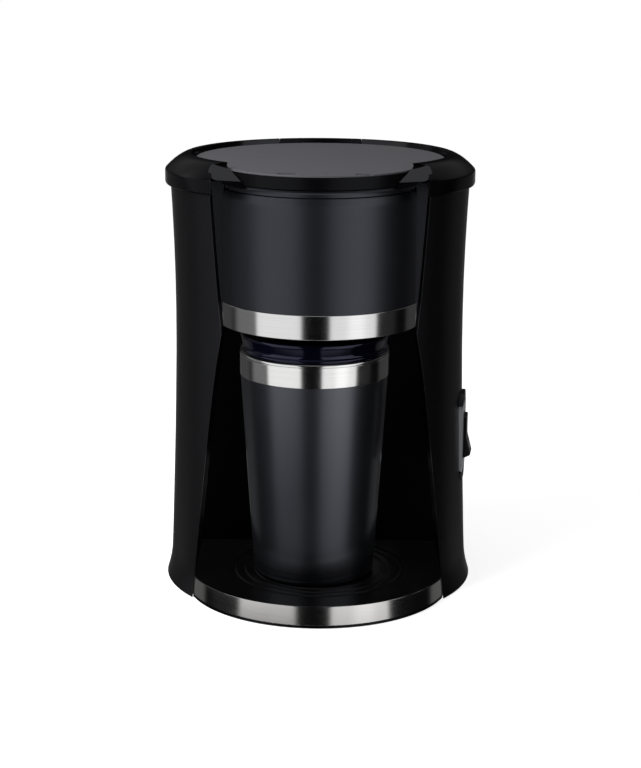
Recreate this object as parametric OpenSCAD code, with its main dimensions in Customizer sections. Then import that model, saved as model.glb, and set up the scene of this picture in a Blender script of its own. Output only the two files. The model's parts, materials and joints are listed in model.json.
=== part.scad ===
// Single-mug drip coffee maker. The front faces -Y, +Z is up, and the feet stand on z = 0.

/* [Housing] */
// Height of the housing shell's top edge
shell_top = 229; // [220:1:245]
// Wall thickness of the mouldings
wall = 2.4; // [2:0.1:2.8]
// Outer radius of the housing at its waist
waist_r = 80.8; // [79:0.1:84]
// Height of the waist
waist_z = 150; // [135:1:160]
// How much wider the housing is at its top than at its waist
top_flare = 2.3; // [0.5:0.1:4]
// How much wider the housing is at its foot than at its waist
foot_flare = 4.4; // [2:0.1:6]
// How far the bead round the foot stands out
foot_bead = 2.4; // [0.5:0.1:3]

/* [Mug bay] */
// Half width of the front opening at its narrowest height
bay_waist = 52; // [50:0.5:54]
// Height at which the front opening is narrowest
bay_waist_z = 152; // [145:1:158]
// How much wider each side of the opening is at the platform
bay_low_spread = 17.8; // [10:0.1:19]
// How much wider each side of the opening is at the top
bay_top_spread = 6.2; // [3:0.1:8]
// Distance from the housing's axis back to the bay's rear wall
bay_back = 12; // [10:0.5:13]

/* [Base] */
// Radius of the base's front arc, outside its trim band
base_r = 74; // [72:0.5:78]
// How far the front arc's centre lies in front of the housing's axis
base_forward = 25; // [22:0.5:30]
// Height of the platform that the mug stands on
platform_z = 12.5; // [11:0.5:16]
// Height of the base's steel trim band
base_band_h = 10.5; // [6:0.5:11]

/* [Brew head] */
// Radius of the head, outside its trim band
head_r = 55; // [54:0.5:58]
// How far the head's axis lies in front of the housing's axis
head_forward = 26; // [24:0.5:30]
// Height of the head's underside above the mug's lid
headroom = 3.2; // [2.8:0.1:8]
// Height of the head's steel trim band
head_band_h = 13; // [6:0.5:20]
// Thickness of the trim bands
band_t = 0.8; // [0.5:0.1:1.2]

/* [Lid and collar] */
// How far the collar round the lid stands out beyond the top of the housing
collar_out = 2.9; // [2:0.1:5]
// Radius of the lid's round part
lid_r = 69.6; // [67:0.1:70.4]
// Height of the lid disc's top face above the housing shell
lid_rise = 10; // [9:0.5:13]
// Slope of the lid's disc, down towards the front, in degrees
lid_slope = 0.45; // [0:0.05:0.8]
// Radius of the hinge pin
hinge_pin_r = 1.5; // [1:0.1:2]

/* [Mug] */
// Outer radius of the mug's steel band
mug_r = 41; // [36:0.5:43]
// Outer radius of the mug's foot
mug_foot_r = 33.4; // [28:0.2:35]
// Height of the mug without its lid
mug_h = 125.6; // [110:0.2:127]
// Height of the mug's steel band
mug_band_h = 12.8; // [6:0.2:20]
// How far the mug's axis lies in front of the housing's axis
mug_forward = 35; // [34:0.5:38]
// How far the mug stands to one side of the middle
mug_shift = -2.6; // [-2.8:0.1:2.8]
// Height of the mug's lid above the mug's rim
mug_lid_h = 11.4; // [8:0.2:11.6]

/* [Switch] */
// Height of the middle of the switch
switch_z = 84; // [60:1:110]
// Angle of the switch from the right-hand side towards the front, in degrees
switch_turn = 8; // [6:1:20]
// Height of the switch frame
switch_frame_h = 51; // [44:1:56]
// Swing of the rocker between its two positions, in degrees
rocker_swing = 15; // [8:1:16]

/* [Water system] */
// Space between the water tank and the housing's wall
tank_gap = 3.4; // [2:0.1:8]
// Height of the tank's underside
tank_z = 60; // [58:1:100]
// Outer radius of the riser tube
riser_r = 4.5; // [3.5:0.1:4.8]
// Outer radius of the heater's spigots
spigot_r = 4; // [3.5:0.1:4.4]
// Wall thickness of the hoses
hose_wall = 1.8; // [1.2:0.1:2]
// Radius of the filter basket at its rim
basket_r = 41.2; // [38:0.2:41.4]
// Radius of the bore for the supply cord
cord_r = 3.75; // [3:0.05:4.5]

/* [Clearances] */
// Gap between pieces that move against each other
run_gap = 0.3; // [0.25:0.05:0.4]
// Gap between pieces that are fixed to each other
seat_gap = 0.1; // [0.05:0.05:0.2]
// Gap round pins in their bores
pin_gap = 0.05; // [0.03:0.01:0.08]

/* [Hidden] */
$fn = 96;
eps = 0.01;
far = 140;

collar_r = waist_r + top_flare + collar_out;

// The housing's axis lies behind the origin, so that the origin is the middle of the footprint.
axis_y = (base_forward + base_r - collar_r) / 2;

// Housing
shell_z0 = 0.4;
bead_z = 17;
steps = 14;
shell_in_r = waist_r + foot_flare - wall - 0.5;
cover_z0 = 1.2;
cover_t = 2;
platform_t = 2.2;
foot_pad_r = 6.5;
foot_stem_r = 2.5;
foot_barb = 0.6;
foot_spots = concat(
    front_spots(base_r - foot_pad_r - 5.7, 39),
    rear_spots(shell_in_r - foot_pad_r - 5, 42.7)
);
screw_spots = concat(
    front_spots(base_r - 14, 66.4),
    rear_spots(shell_in_r - 17.5, 9)
);
screw_r = 1.4;
screw_head_r = 2.9;

// Collar and lid
lid_top = shell_top + lid_rise;
collar_skirt_z = shell_top - 2.6;
collar_band_top = shell_top + 5;
collar_rim_z = lid_top + 3.8;
ledge_z = shell_top + 2.4;
ledge_in_r = lid_r - 4;
rim_in_r = lid_r + 0.7;
rim_top_r = rim_in_r + 1.7;
lobe_r = head_r + 0.2;
cheek_w = 57;
cheek_y = -64.5;
cheek_top_x = 51.5;
cheek_top_y = -52.5;
cheek_slope = 29.4;
cheek_bank = 2.9;
cheek_under_slope = 18.5;
hinge_y = 74.5;
hinge_z = lid_top - 2.2;
knuckle_r = 6.4;
knuckle_w = 48;
pin_l = 57;
lid_z0 = ledge_z + run_gap;
lid_plate_z = lid_top - 3;
disc_t = 1.2;
disc_inset = 0.8;
lid_edge_z = lid_top - disc_t + 0.4;
rim_wall_z = lid_z0 + 4;

// Brew head
head_z = platform_z + run_gap + mug_h + mug_lid_h + headroom;
panel_r = head_r - 0.5;
panel_t = 2;
band_in_r = head_r - band_t;
panel_back_y = -40;
groove_z = shell_top - 1.6;
groove_h = 1.6;
groove_d = 2.2;
bead_top = ledge_z - 0.2;
floor_t = 2.2;
basket_y = -mug_forward + 4;
basket_foot_r = basket_r - 7.6;
basket_wall = 1.8;
basket_z0 = head_z + 3;
basket_knee_z = head_z + 23;
basket_top = shell_top - 5;
spout_r = 6;
spout_bore_r = 3;
mesh_t = 0.6;
frame_t = 1.4;
rib_w = 4;
mesh_gap = frame_t + 0.4;

// Water system
tank_r = waist_r - wall - tank_gap;
tank_wall = 2;
tank_front_y = bay_back + wall + 14.1;
tank_top = shell_top - 2.4;
flange_t = 2.2;
riser_x = -14;
riser_y = bay_back + wall + 8.6;
inlet_y = riser_y + 13;
inlet_x = sqrt(pow(tank_r - 7.5, 2) - pow(inlet_y, 2));
outlet_h = 10;
heater_x0 = -36;
heater_x1 = 40;
heater_z0 = platform_z + 7.5;
heater_h = 22;
heater_d = 26;
heater_y0 = riser_y - 5;
water_z = heater_z0 + 6;
element_z = heater_z0 + 15.8;
element_y = riser_y + 8.2;
element_r = 4;
passage_r = 2.6;
heater_top = heater_z0 + heater_h;
elbow_r = 8;
hose_r = spigot_r + hose_wall;
clamp_t = 0.9;
clamp_h = 4;
clamp_ear_w = 3.2;
ball_r = 2.3;
valve_lip_r = 1.6;
valve_seat_z = tank_z - outlet_h + 1.6;
spigot_wall = 1.2;
strainer_r = 5;
channel_z0 = lid_z0 + 0.3;
channel_screw_spots = [[-30, -14], [30, -14]];
hub_r = 20;
channel_end_r = 9;
channel_w = 16;
channel_ear_w = 8;
channel_wall = 1.4;

// Mug
mug_z0 = platform_z + run_gap;
mug_top = mug_z0 + mug_h;
mug_band_z = mug_top - mug_band_h;
mug_wall = 0.8;
liner_gap = 2;
liner_t = 1;
lip_h = 0.35;
lid_plug_r = mug_r - 5.6;
mug_base_h = 7;
mug_lid_z0 = mug_top + lip_h + run_gap;
lid_floor_h = 6;
seal_z = mug_top - 5.4;
slot_r = 6;
rail_x = 11;
rail_w = 1.8;

// Switch
switch_r = shell_r(switch_z);
switch_w = 25;
switch_proud = 1.1;
slot_w = 17;
plug_d = 6;
plate_h = 38.6;
rocker_h = 24.6;
rocker_w = 12;
pivot_depth = 2.5;
pivot_r = 1.5;
rocker_reach = rocker_h / 2 + 0.1;

// Electrics
blade_l = 6;
blade_w = 4;
terminal_x = -50;
terminal_y = 34;
lead_r = 1.1;

// Cord gland
gland_z = 24;
gland_r = 6.5;
gland_l = 9;
gland_flange_r = 9;
gland_flange_t = 2.6;

// Outer radius of the housing at height z.
function shell_r(z) =
    waist_r
    + (z > waist_z
        ? top_flare * pow((z - waist_z) / (shell_top - waist_z), 2)
        : foot_flare * pow((waist_z - z) / waist_z, 1.5))
    + (z < bead_z ? foot_bead * pow((bead_z - z) / (bead_z - shell_z0), 2) : 0);

// Half width of the front opening at height z.
function bay_w(z) =
    bay_waist
    + (z > bay_waist_z
        ? bay_top_spread * pow((z - bay_waist_z) / (shell_top - bay_waist_z), 0.8)
        : bay_low_spread * pow((bay_waist_z - z) / bay_waist_z, 0.8));

// Outer radius of the mug's painted body at height z.
function mug_wall_r(z) =
    mug_foot_r + (mug_r - 0.3 - mug_foot_r) * (z - mug_z0) / (mug_band_z - mug_z0);

// Two spots, left and right, on a circle of radius r, at an angle from the side.
function front_spots(r, a) = [for (s = [-1, 1]) [s * r * cos(a), -base_forward - r * sin(a)]];
function rear_spots(r, a) = [for (s = [-1, 1]) [s * r * cos(a), r * sin(a)]];

// Heights from z0 to z1 in n steps.
function ladder(z0, z1, n) = [for (i = [0:n]) z0 + (z1 - z0) * i / n];

module at_axis() translate([0, axis_y, 0]) children();
module at_head() translate([0, -head_forward, 0]) children();
module at_outlet() translate([0, -mug_forward, 0]) children();
module at_mug() translate([mug_shift, -mug_forward, 0]) children();

// A solid of the housing's outer form between two heights, its radius reduced by inset.
module shell_form(inset, z0, z1) {
    low = min(z1, bead_z);
    zs = concat(
        z0 < bead_z ? ladder(z0, low, 6) : [z0],
        z1 > bead_z ? ladder(max(z0, bead_z) + 2, z1, steps) : []
    );
    rotate_extrude()
        polygon(concat([[0, zs[0]]], [for (z = zs) [shell_r(z) - inset, z]], [[0, z1]]));
}

// The front opening's outline, widened by grow, carried from y0 back to y1.
module bay_prism(y0, y1, z0, z1, grow) {
    zs = concat(
        z0 < bay_waist_z ? ladder(z0, min(z1, bay_waist_z), 10) : [z0],
        z1 > bay_waist_z ? ladder(max(z0, bay_waist_z + 2), z1, 6) : []
    );
    last = len(zs) - 1;
    translate([0, y1, 0]) rotate([90, 0, 0])
        linear_extrude(y1 - y0)
            polygon(concat(
                [for (i = [0:last]) [bay_w(zs[i]) + grow, zs[i]]],
                [for (i = [last:-1:0]) [-bay_w(zs[i]) - grow, zs[i]]]
            ));
}

module ring(r_out, r_in, z0, z1) {
    difference() {
        translate([0, 0, z0]) cylinder(r = r_out, h = z1 - z0);
        translate([0, 0, z0 - 1]) cylinder(r = r_in, h = z1 - z0 + 2);
    }
}

module front_half(y) translate([-far, -2 * far, -1]) cube([2 * far, 2 * far + y, 3 * far]);
module behind(y) translate([-far, y, -1]) cube([2 * far, far, 3 * far]);

// Turns what stands along Z to lie along X or Y, starting at the given point.
module along_x(x, y, z) translate([x, y, z]) rotate([0, 90, 0]) children();
module along_y(x, y, z) translate([x, y, z]) rotate([-90, 0, 0]) children();

// ---------------------------------------------------------------- housing

module at_switch() rotate([0, 0, -switch_turn]) translate([switch_r, 0, switch_z]) children();

// An upright slot with round ends, along +X from x0 to x1.
module upright_slot(w, h, x0, x1) {
    translate([x0, 0, 0]) rotate([90, 0, 90])
        linear_extrude(x1 - x0) {
            for (s = [-1, 1]) translate([0, s * (h - w) / 2]) circle(d = w);
            square([w, h - w], center = true);
        }
}

module housing_shell() color("#17181b") at_axis() {
    difference() {
        shell_form(0, shell_z0, shell_top);
        shell_form(wall, shell_z0, shell_top);
        translate([0, 0, -1]) cylinder(r = shell_in_r, h = platform_z + 1);
        translate([0, 0, shell_top - 1]) cylinder(r = waist_r + top_flare - wall - 0.3, h = 5);
        bay_prism(-far, -20, shell_z0 - 5, shell_top + 5, 0);
        at_switch() upright_slot(slot_w, switch_frame_h - 4, -12, 12);
        along_y(0, 60, gland_z) cylinder(r = gland_r + seat_gap, h = 60);
    }
}

module niche_liner() color("#0b0b0c") at_axis() {
    z0 = platform_z;
    z1 = tank_top;
    difference() {
        intersection() {
            bay_prism(-far, bay_back + wall, z0, z1, wall);
            shell_form(wall + seat_gap, z0, z1);
        }
        bay_prism(-2 * far, bay_back, z0 - 5, z1 + 5, 0);
    }
}

// Height of the collar's shoulder at radius r.
function shoulder_z(r) =
    collar_rim_z
    - (collar_rim_z - collar_band_top) * pow((r - rim_top_r) / (collar_r - rim_top_r), 1.7);

// The collar's section from height z0 up, over the shoulder and the rim, in to the given last points.
module collar_ring(z0, last) {
    rotate_extrude()
        polygon(concat(
            [[collar_r, z0], [collar_r, collar_band_top - 0.5]],
            [for (r = ladder(collar_r - 0.4, rim_top_r + 0.6, 8)) [r, shoulder_z(r)]],
            [[rim_top_r - 0.2, collar_rim_z - 0.1], [rim_top_r - 0.6, collar_rim_z - 0.5]],
            [[rim_in_r, rim_wall_z]],
            last
        ));
}

// The space that the lid's hinge knuckle fills, widened by grow.
module knuckle_form(grow) {
    half = knuckle_w / 2 + grow;
    reach = 14.5;
    along_x(-half, hinge_y, hinge_z) cylinder(r = knuckle_r + grow, h = 2 * half);
    translate([-half, hinge_y - reach, hinge_z]) cube([2 * half, reach, far]);
}

module top_collar() color("#101113") at_axis() {
    seat_r = waist_r + top_flare + run_gap;
    difference() {
        collar_ring(collar_skirt_z,
            [[rim_in_r, ledge_z], [ledge_in_r, ledge_z], [ledge_in_r, collar_skirt_z]]);
        translate([0, 0, -1]) cylinder(r = seat_r, h = shell_top + 1);
        translate([0, 0, collar_skirt_z - 1]) rotate_extrude()
            polygon([[collar_r - 0.8, 0], [collar_r + 1, 0], [collar_r + 1, 2], [collar_r, 2]]);
        at_head() translate([0, 0, -1]) cylinder(r = lobe_r + 0.6, h = 3 * far);
        // Between its ends the collar stops behind the brew head. The ends slope down to the front.
        translate([-cheek_w, -2 * far, -1]) cube([2 * cheek_w, 2 * far + cheek_y, 3 * far]);
        for (s = [0, 1]) mirror([s, 0, 0]) {
            translate([cheek_top_x, cheek_top_y, lid_top + 2.2]) rotate([cheek_slope, -cheek_bank, 0])
                translate([-cheek_top_x, -far, 0]) cube([2 * far, far, far]);
            intersection() {
                translate([cheek_w, 0, collar_band_top + 1.5]) rotate([0, -cheek_under_slope, 0])
                    translate([-2 * far, -2 * far, -far])
                        cube([3 * far, 2 * far + panel_back_y + 0.5, far]);
                translate([0, -far, 0]) cube([cheek_w, far, 3 * far]);
            }
        }
        knuckle_form(run_gap);
        along_x(-pin_l / 2, hinge_y, hinge_z) cylinder(r = hinge_pin_r, h = pin_l);
    }
}

module hinge_pin() color("#c9ccd0") at_axis() {
    along_x(eps - pin_l / 2, hinge_y, hinge_z) cylinder(r = hinge_pin_r, h = pin_l - 2 * eps);
}

// ---------------------------------------------------------------- base

// Outline of the base: the housing's circle with the front arc inside the bay's width.
module base_form(r, inner_r, z0, z1, grow) {
    intersection() {
        translate([0, -base_forward, z0]) cylinder(r = r, h = z1 - z0);
        union() {
            bay_prism(-far, -40, min(z0, shell_z0), shell_top, grow);
            translate([-far, -40 - eps, 0]) cube([2 * far, far, far]);
        }
    }
    translate([0, 0, z0]) cylinder(r = inner_r, h = z1 - z0);
}

module platform() color("#0d0d0f") at_axis() {
    band_seat_r = base_r - band_t;
    band_z = platform_z - base_band_h;
    difference() {
        union() {
            base_form(band_seat_r - seat_gap, shell_in_r - seat_gap, band_z, platform_z, -run_gap);
            base_form(base_r, shell_in_r - seat_gap, shell_z0, band_z, -run_gap);
        }
        difference() {
            base_form(band_seat_r - wall, shell_in_r - wall, -1, platform_z - platform_t, -wall);
            for (p = screw_spots) translate([p[0], p[1], cover_z0 + cover_t]) cylinder(r = 4, h = 20);
        }
        for (p = screw_spots) translate([p[0], p[1], 0]) cylinder(r = screw_r, h = platform_z - 3);
        at_outlet() for (r = [36.5, 42, 47.5])
            ring(r + 0.7, r - 0.7, platform_z - 0.6, platform_z + 1);
    }
}

module base_band() color("#c2c4c6") at_axis() {
    difference() {
        intersection() {
            translate([0, -base_forward, platform_z - base_band_h]) cylinder(r = base_r, h = base_band_h);
            bay_prism(-far, -40, 0, shell_top, -run_gap);
        }
        translate([0, -base_forward, 0]) cylinder(r = base_r - band_t, h = 2 * far);
        cylinder(r = shell_in_r + seat_gap, h = 2 * far);
    }
}

module bottom_cover() color("#141416") at_axis() {
    vent_l = 34;
    difference() {
        base_form(base_r - band_t - wall - seat_gap, shell_in_r - wall - seat_gap,
            cover_z0, cover_z0 + cover_t, -wall - seat_gap);
        for (p = foot_spots) translate([p[0], p[1], 0]) cylinder(r = foot_stem_r, h = 10);
        for (p = screw_spots) translate([p[0], p[1], 0]) {
            cylinder(r = screw_r + pin_gap, h = 10);
            translate([0, 0, cover_z0 - 1]) cylinder(r = screw_head_r + seat_gap, h = 2.2);
        }
        for (i = [-3:3]) translate([i * 8 - 1.5, 20, 0]) cube([3, vent_l, 10]);
    }
}

module rubber_feet() color("#1c1c1c") at_axis() {
    for (p = foot_spots) translate([p[0], p[1], 0]) {
        cylinder(r1 = foot_pad_r - 0.5, r2 = foot_pad_r, h = cover_z0);
        translate([0, 0, cover_z0]) cylinder(r = foot_stem_r, h = cover_t);
        translate([0, 0, cover_z0 + cover_t])
            cylinder(r1 = foot_stem_r + foot_barb, r2 = foot_stem_r - foot_barb, h = 1.6);
    }
}

module cover_screws() color("#9a9da1") at_axis() {
    head_z0 = cover_z0 + 0.1;
    for (p = screw_spots) translate([p[0], p[1], head_z0]) difference() {
        union() {
            cylinder(r = screw_head_r, h = 1.1);
            cylinder(r = screw_r, h = 8);
        }
        for (a = [0, 90]) rotate([0, 0, a]) translate([-1.8, -0.35, -1]) cube([3.6, 0.7, 1.6]);
    }
}

// ---------------------------------------------------------------- brew head

// A ring-shaped wall of the head's front, trimmed to fit between the bay's sides.
module head_arc(profile, y) {
    intersection() {
        at_head() rotate_extrude() polygon(profile);
        bay_prism(-far, y, head_z - 1, ledge_z, -run_gap);
        front_half(y);
    }
}

module front_panel() color("#1b1d21") at_axis() {
    in_r = panel_r - panel_t;
    flange_w = 16;
    band_top = head_z + head_band_h;
    head_arc([
        [in_r - 0.6, head_z + 0.2], [band_in_r - seat_gap, head_z + 0.2],
        [band_in_r - seat_gap, band_top + seat_gap],
        [panel_r, band_top + seat_gap], [panel_r, groove_z - 5.6], [panel_r - 1.2, groove_z - 0.5],
        [panel_r - groove_d, groove_z], [panel_r - groove_d, groove_z + groove_h],
        [panel_r - 0.4, groove_z + groove_h + 0.3], [panel_r - 0.1, groove_z + groove_h + 1],
        [panel_r - 0.7, bead_top], [in_r - 2, bead_top], [in_r - 2, groove_z - 3],
        [in_r - 0.6, groove_z - 6]
    ], panel_back_y);
    // Flanges that stand against the mouldings on each side.
    intersection() {
        bay_prism(panel_back_y - panel_t, panel_back_y, head_z + 0.2, bead_top, -run_gap);
        for (s = [-1, 1]) translate([s * (in_r + flange_w / 2 - 1) - flange_w / 2, panel_back_y - panel_t, 0])
            cube([flange_w, panel_t, 2 * far]);
    }
}

module head_band() color("#c2c4c6") at_axis() {
    head_arc([
        [band_in_r, head_z], [head_r - 0.2, head_z], [head_r, head_z + 0.2],
        [head_r, head_z + head_band_h - 0.2], [head_r - 0.2, head_z + head_band_h],
        [band_in_r, head_z + head_band_h]
    ], panel_back_y - panel_t - seat_gap);
}

module head_floor() color("#0e0e10") at_axis() {
    floor_z = head_z + 0.6;
    difference() {
        union() {
            intersection() {
                bay_prism(-far, bay_back - seat_gap, floor_z, floor_z + floor_t, -run_gap);
                union() {
                    at_head() translate([0, 0, floor_z]) cylinder(r = panel_r - panel_t - 0.8, h = floor_t);
                    translate([-far, panel_back_y + seat_gap, 0]) cube([2 * far, far, 2 * far]);
                }
            }
            translate([0, basket_y, floor_z]) cylinder(r = basket_foot_r + 2.4, h = 18);
        }
        translate([0, basket_y, floor_z + floor_t]) cylinder(r = basket_foot_r + seat_gap, h = 30);
        at_outlet() cylinder(r = spout_r + 0.4, h = 2 * far);
    }
}

module filter_basket() color("#151517") at_axis() {
    cone_h = basket_top - basket_knee_z;
    difference() {
        union() {
            translate([0, basket_y, basket_z0]) cylinder(r = basket_foot_r, h = basket_knee_z - basket_z0);
            translate([0, basket_y, basket_knee_z])
                cylinder(r1 = basket_foot_r, r2 = basket_r, h = cone_h);
            translate([0, basket_y, basket_top - 2]) cylinder(r = basket_r + 1.2, h = 2);
            at_outlet() translate([0, 0, head_z - 0.4]) cylinder(r = spout_r, h = 4);
        }
        translate([0, basket_y, basket_z0 + 2]) cylinder(r = basket_foot_r - basket_wall, h = far);
        translate([0, basket_y, basket_knee_z])
            cylinder(r1 = basket_foot_r - basket_wall, r2 = basket_r - basket_wall, h = cone_h + eps);
        at_outlet() cylinder(r = spout_bore_r, h = 2 * far);
    }
}

// Radius inside the basket's cone at height z, less a gap.
function cone_r(z, gap) =
    basket_foot_r - basket_wall - gap
    + max(0, z - basket_knee_z) * (basket_r - basket_foot_r) / (basket_top - basket_knee_z);

module filter_frame() color("#1d1d20") at_axis() {
    z0 = basket_z0 + 5;
    z1 = basket_top + 0.2;
    t = frame_t;
    bar_h = 4.4;
    bar_w = 8;
    translate([0, basket_y, 0]) {
        ring(basket_r, cone_r(basket_top, mesh_t + t + 0.4), z1, z1 + 1.6);
        intersection() {
            rotate_extrude()
                polygon([
                    [cone_r(z0, 0.3 + t), z0], [cone_r(z0, 0.3), z0], [cone_r(z0, 0.3), basket_knee_z],
                    [cone_r(basket_top, 0.3), basket_top], [cone_r(basket_top, 0.3), z1 + eps],
                    [cone_r(basket_top, 0.3 + t), z1 + eps], [cone_r(basket_top, 0.3 + t), basket_top],
                    [cone_r(z0, 0.3 + t), basket_knee_z]
                ]);
            union() {
                for (a = [0:45:135]) rotate([0, 0, a])
                    translate([-far, -rib_w / 2, 0]) cube([2 * far, rib_w, 2 * far]);
                translate([0, 0, z0]) cylinder(r = far, h = 2.5);
                translate([0, 0, basket_top - 6]) cylinder(r = far, h = 7);
            }
        }
        ring(cone_r(z0, 0.3), 10, z0 - t, z0);
        for (a = [0, 90]) rotate([0, 0, a])
            translate([-cone_r(z0, 1), -rib_w / 2, z0 - t]) cube([2 * cone_r(z0, 1), rib_w, t]);
        // Carrying bar across the rim.
        for (s = [-1, 1]) translate([s * (basket_r - 2.5) - 1.5, -bar_w / 2, z1]) cube([3, bar_w, bar_h]);
        translate([1 - basket_r, -bar_w / 2, z1 + bar_h - t]) cube([2 * basket_r - 2, bar_w, t]);
    }
}

module filter_mesh() color("#b98a2e") at_axis() {
    z0 = basket_z0 + 5.1;
    gap = mesh_gap;
    in_gap = gap + mesh_t;
    translate([0, basket_y, 0]) rotate_extrude()
        polygon([
            [0, z0], [cone_r(z0, gap), z0], [cone_r(z0, gap), basket_knee_z],
            [cone_r(basket_top, gap), basket_top], [cone_r(basket_top, in_gap), basket_top],
            [cone_r(z0, in_gap), basket_knee_z], [cone_r(z0, in_gap), z0 + mesh_t], [0, z0 + mesh_t]
        ]);
}

// ---------------------------------------------------------------- water system

module water_tank() color("#2a2c30") at_axis() {
    flange_z = tank_top;
    difference() {
        union() {
            intersection() {
                translate([0, 0, tank_z]) cylinder(r = tank_r, h = flange_z - tank_z + eps);
                behind(tank_front_y);
            }
            intersection() {
                shell_form(wall + seat_gap, flange_z, flange_z + flange_t);
                behind(bay_back + 0.6);
            }
            translate([inlet_x, inlet_y, tank_z - outlet_h]) cylinder(r = spigot_r, h = outlet_h + 1);
        }
        intersection() {
            translate([0, 0, tank_z + tank_wall]) cylinder(r = tank_r - tank_wall, h = 2 * far);
            behind(tank_front_y + tank_wall);
        }
        translate([riser_x, riser_y, flange_z - 1]) cylinder(r = riser_r + seat_gap, h = 10);
        translate([inlet_x, inlet_y, 0]) cylinder(r = valve_lip_r, h = far);
        translate([inlet_x, inlet_y, valve_seat_z]) cylinder(r = spigot_r - spigot_wall, h = 30);
    }
}

module tank_strainer() color("#d8d8d4") at_axis() {
    z0 = tank_z + tank_wall;
    translate([inlet_x, inlet_y, z0]) difference() {
        cylinder(r = strainer_r, h = 3);
        translate([0, 0, -1]) cylinder(r = strainer_r - 1.2, h = 3);
        for (a = [0:60:300]) rotate([0, 0, a]) translate([2, 0, 0]) cylinder(r = 0.6, h = 5);
    }
}

module valve_ball() color("#e8e8e8") at_axis() {
    seat = sqrt(ball_r * ball_r - valve_lip_r * valve_lip_r);
    translate([inlet_x, inlet_y, valve_seat_z + seat + 0.05]) sphere(r = ball_r);
}

module inlet_hose() color("#c9c4ba") at_axis() {
    bore = spigot_r + pin_gap;
    x0 = heater_x1 + 1;
    x1 = inlet_x - elbow_r;
    z1 = water_z + elbow_r;
    along_x(x0, inlet_y, water_z) difference() {
        cylinder(r = hose_r, h = x1 - x0);
        translate([0, 0, -1]) cylinder(r = bore, h = x1 - x0 + 2);
    }
    translate([x1, inlet_y, z1]) rotate([-90, 0, 0])
        rotate_extrude(angle = 90)
            translate([elbow_r, 0]) difference() {
                circle(r = hose_r, $fn = 48);
                circle(r = bore, $fn = 48);
            }
    translate([inlet_x, inlet_y, z1]) difference() {
        cylinder(r = hose_r, h = tank_z - 0.4 - z1);
        translate([0, 0, -1]) cylinder(r = bore, h = far);
    }
}

module riser_hose() color("#c9c4ba") at_axis() {
    translate([riser_x, riser_y, 0])
        ring(riser_r + hose_wall, riser_r + pin_gap, heater_top + 1, tank_z - 1.2);
}

// A sprung clamp round a hose of radius r.
module clamp(r) {
    difference() {
        union() {
            cylinder(r = r + pin_gap + clamp_t, h = clamp_h);
            translate([r, -clamp_ear_w / 2, 0]) cube([clamp_h, clamp_ear_w, clamp_h]);
        }
        translate([0, 0, -1]) cylinder(r = r + pin_gap, h = clamp_h + 2);
        translate([r - 1, -clamp_ear_w / 6, -1]) cube([clamp_h + 2, clamp_ear_w / 3, clamp_h + 2]);
    }
}

module hose_clamps() color("#b8babd") at_axis() {
    translate([riser_x, riser_y, heater_top + 2]) clamp(riser_r + hose_wall);
    translate([riser_x, riser_y, tank_z - 5.6]) rotate([0, 0, 180]) clamp(riser_r + hose_wall);
    translate([inlet_x, inlet_y, tank_z - 6]) rotate([0, 0, 200]) clamp(hose_r);
    along_x(heater_x1 + 2, inlet_y, water_z) clamp(hose_r);
}

module heater_block() color("#a9acb0") at_axis() {
    spigot_l = 8;
    difference() {
        union() {
            translate([heater_x0, heater_y0, heater_z0])
                cube([heater_x1 - heater_x0, heater_d, heater_h]);
            along_x(heater_x1 - 1, inlet_y, water_z) cylinder(r = spigot_r, h = spigot_l + 1);
            translate([riser_x, riser_y, heater_top - 1]) cylinder(r = riser_r, h = spigot_l + 1);
        }
        along_x(riser_x, inlet_y, water_z) cylinder(r = passage_r, h = far);
        along_y(riser_x, riser_y, water_z) cylinder(r = passage_r, h = inlet_y - riser_y);
        translate([riser_x, riser_y, water_z]) cylinder(r = passage_r, h = far);
        along_x(-far, element_y, element_z) cylinder(r = element_r + pin_gap, h = 2 * far);
        // Cooling slots down the back.
        for (i = [0:5]) translate([heater_x0 + 8 + i * 12, heater_y0 + heater_d - 2, heater_z0 - 1])
            cube([2, 5, heater_h + 2]);
    }
}

module heating_element() color("#d9d3c4") at_axis() {
    overhang = 6;
    length = heater_x1 - heater_x0 + 2 * overhang;
    along_x(heater_x0 - overhang, element_y, element_z) {
        cylinder(r = element_r, h = length);
        translate([0, 0, -5]) cylinder(r = 1.2, h = length + 10);
    }
}

module heater_bracket() color("#8f9296") at_axis() {
    t = 1.2;
    inset = 3;
    depth = heater_d - 2 * inset;
    leg_x = [heater_x0 + 10, heater_x1 - 12];
    hole_x = [heater_x0 + 5, heater_x1 - 5];
    translate([0, heater_y0 + inset, 0]) difference() {
        union() {
            translate([heater_x0 + 2, 0, platform_z]) cube([heater_x1 - heater_x0 - 4, depth, t]);
            for (x = leg_x) {
                translate([x, 0, platform_z]) cube([t, depth, heater_z0 - platform_z]);
                translate([x - 4, 0, heater_z0 - t]) cube([8, depth, t]);
            }
        }
        for (x = hole_x) translate([x, depth / 2, 0]) cylinder(r = 1.6, h = far);
    }
}

module thermostat() color("#3a3a3e") at_axis() {
    translate([20, element_y, heater_top]) {
        cylinder(r = 8, h = 2);
        translate([0, 0, 2]) cylinder(r = 6.6, h = 6);
        for (s = [-1, 1]) translate([s * 3.4 - 0.4, -2, 8]) cube([0.8, 4, 6]);
    }
}

module thermal_fuses() color("#cfd2d6") at_axis() {
    for (x = [0, 6]) along_y(x, heater_y0 + 8, heater_top + 2.1) {
        cylinder(r = 2, h = 12);
        translate([0, 0, -5]) cylinder(r = 0.6, h = 22);
    }
}

module riser_tube() color("#dcdcda") at_axis() {
    translate([riser_x, riser_y, 0])
        ring(riser_r, riser_r - spigot_wall, heater_top + 8.6, tank_top + flange_t + 2);
}

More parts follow.
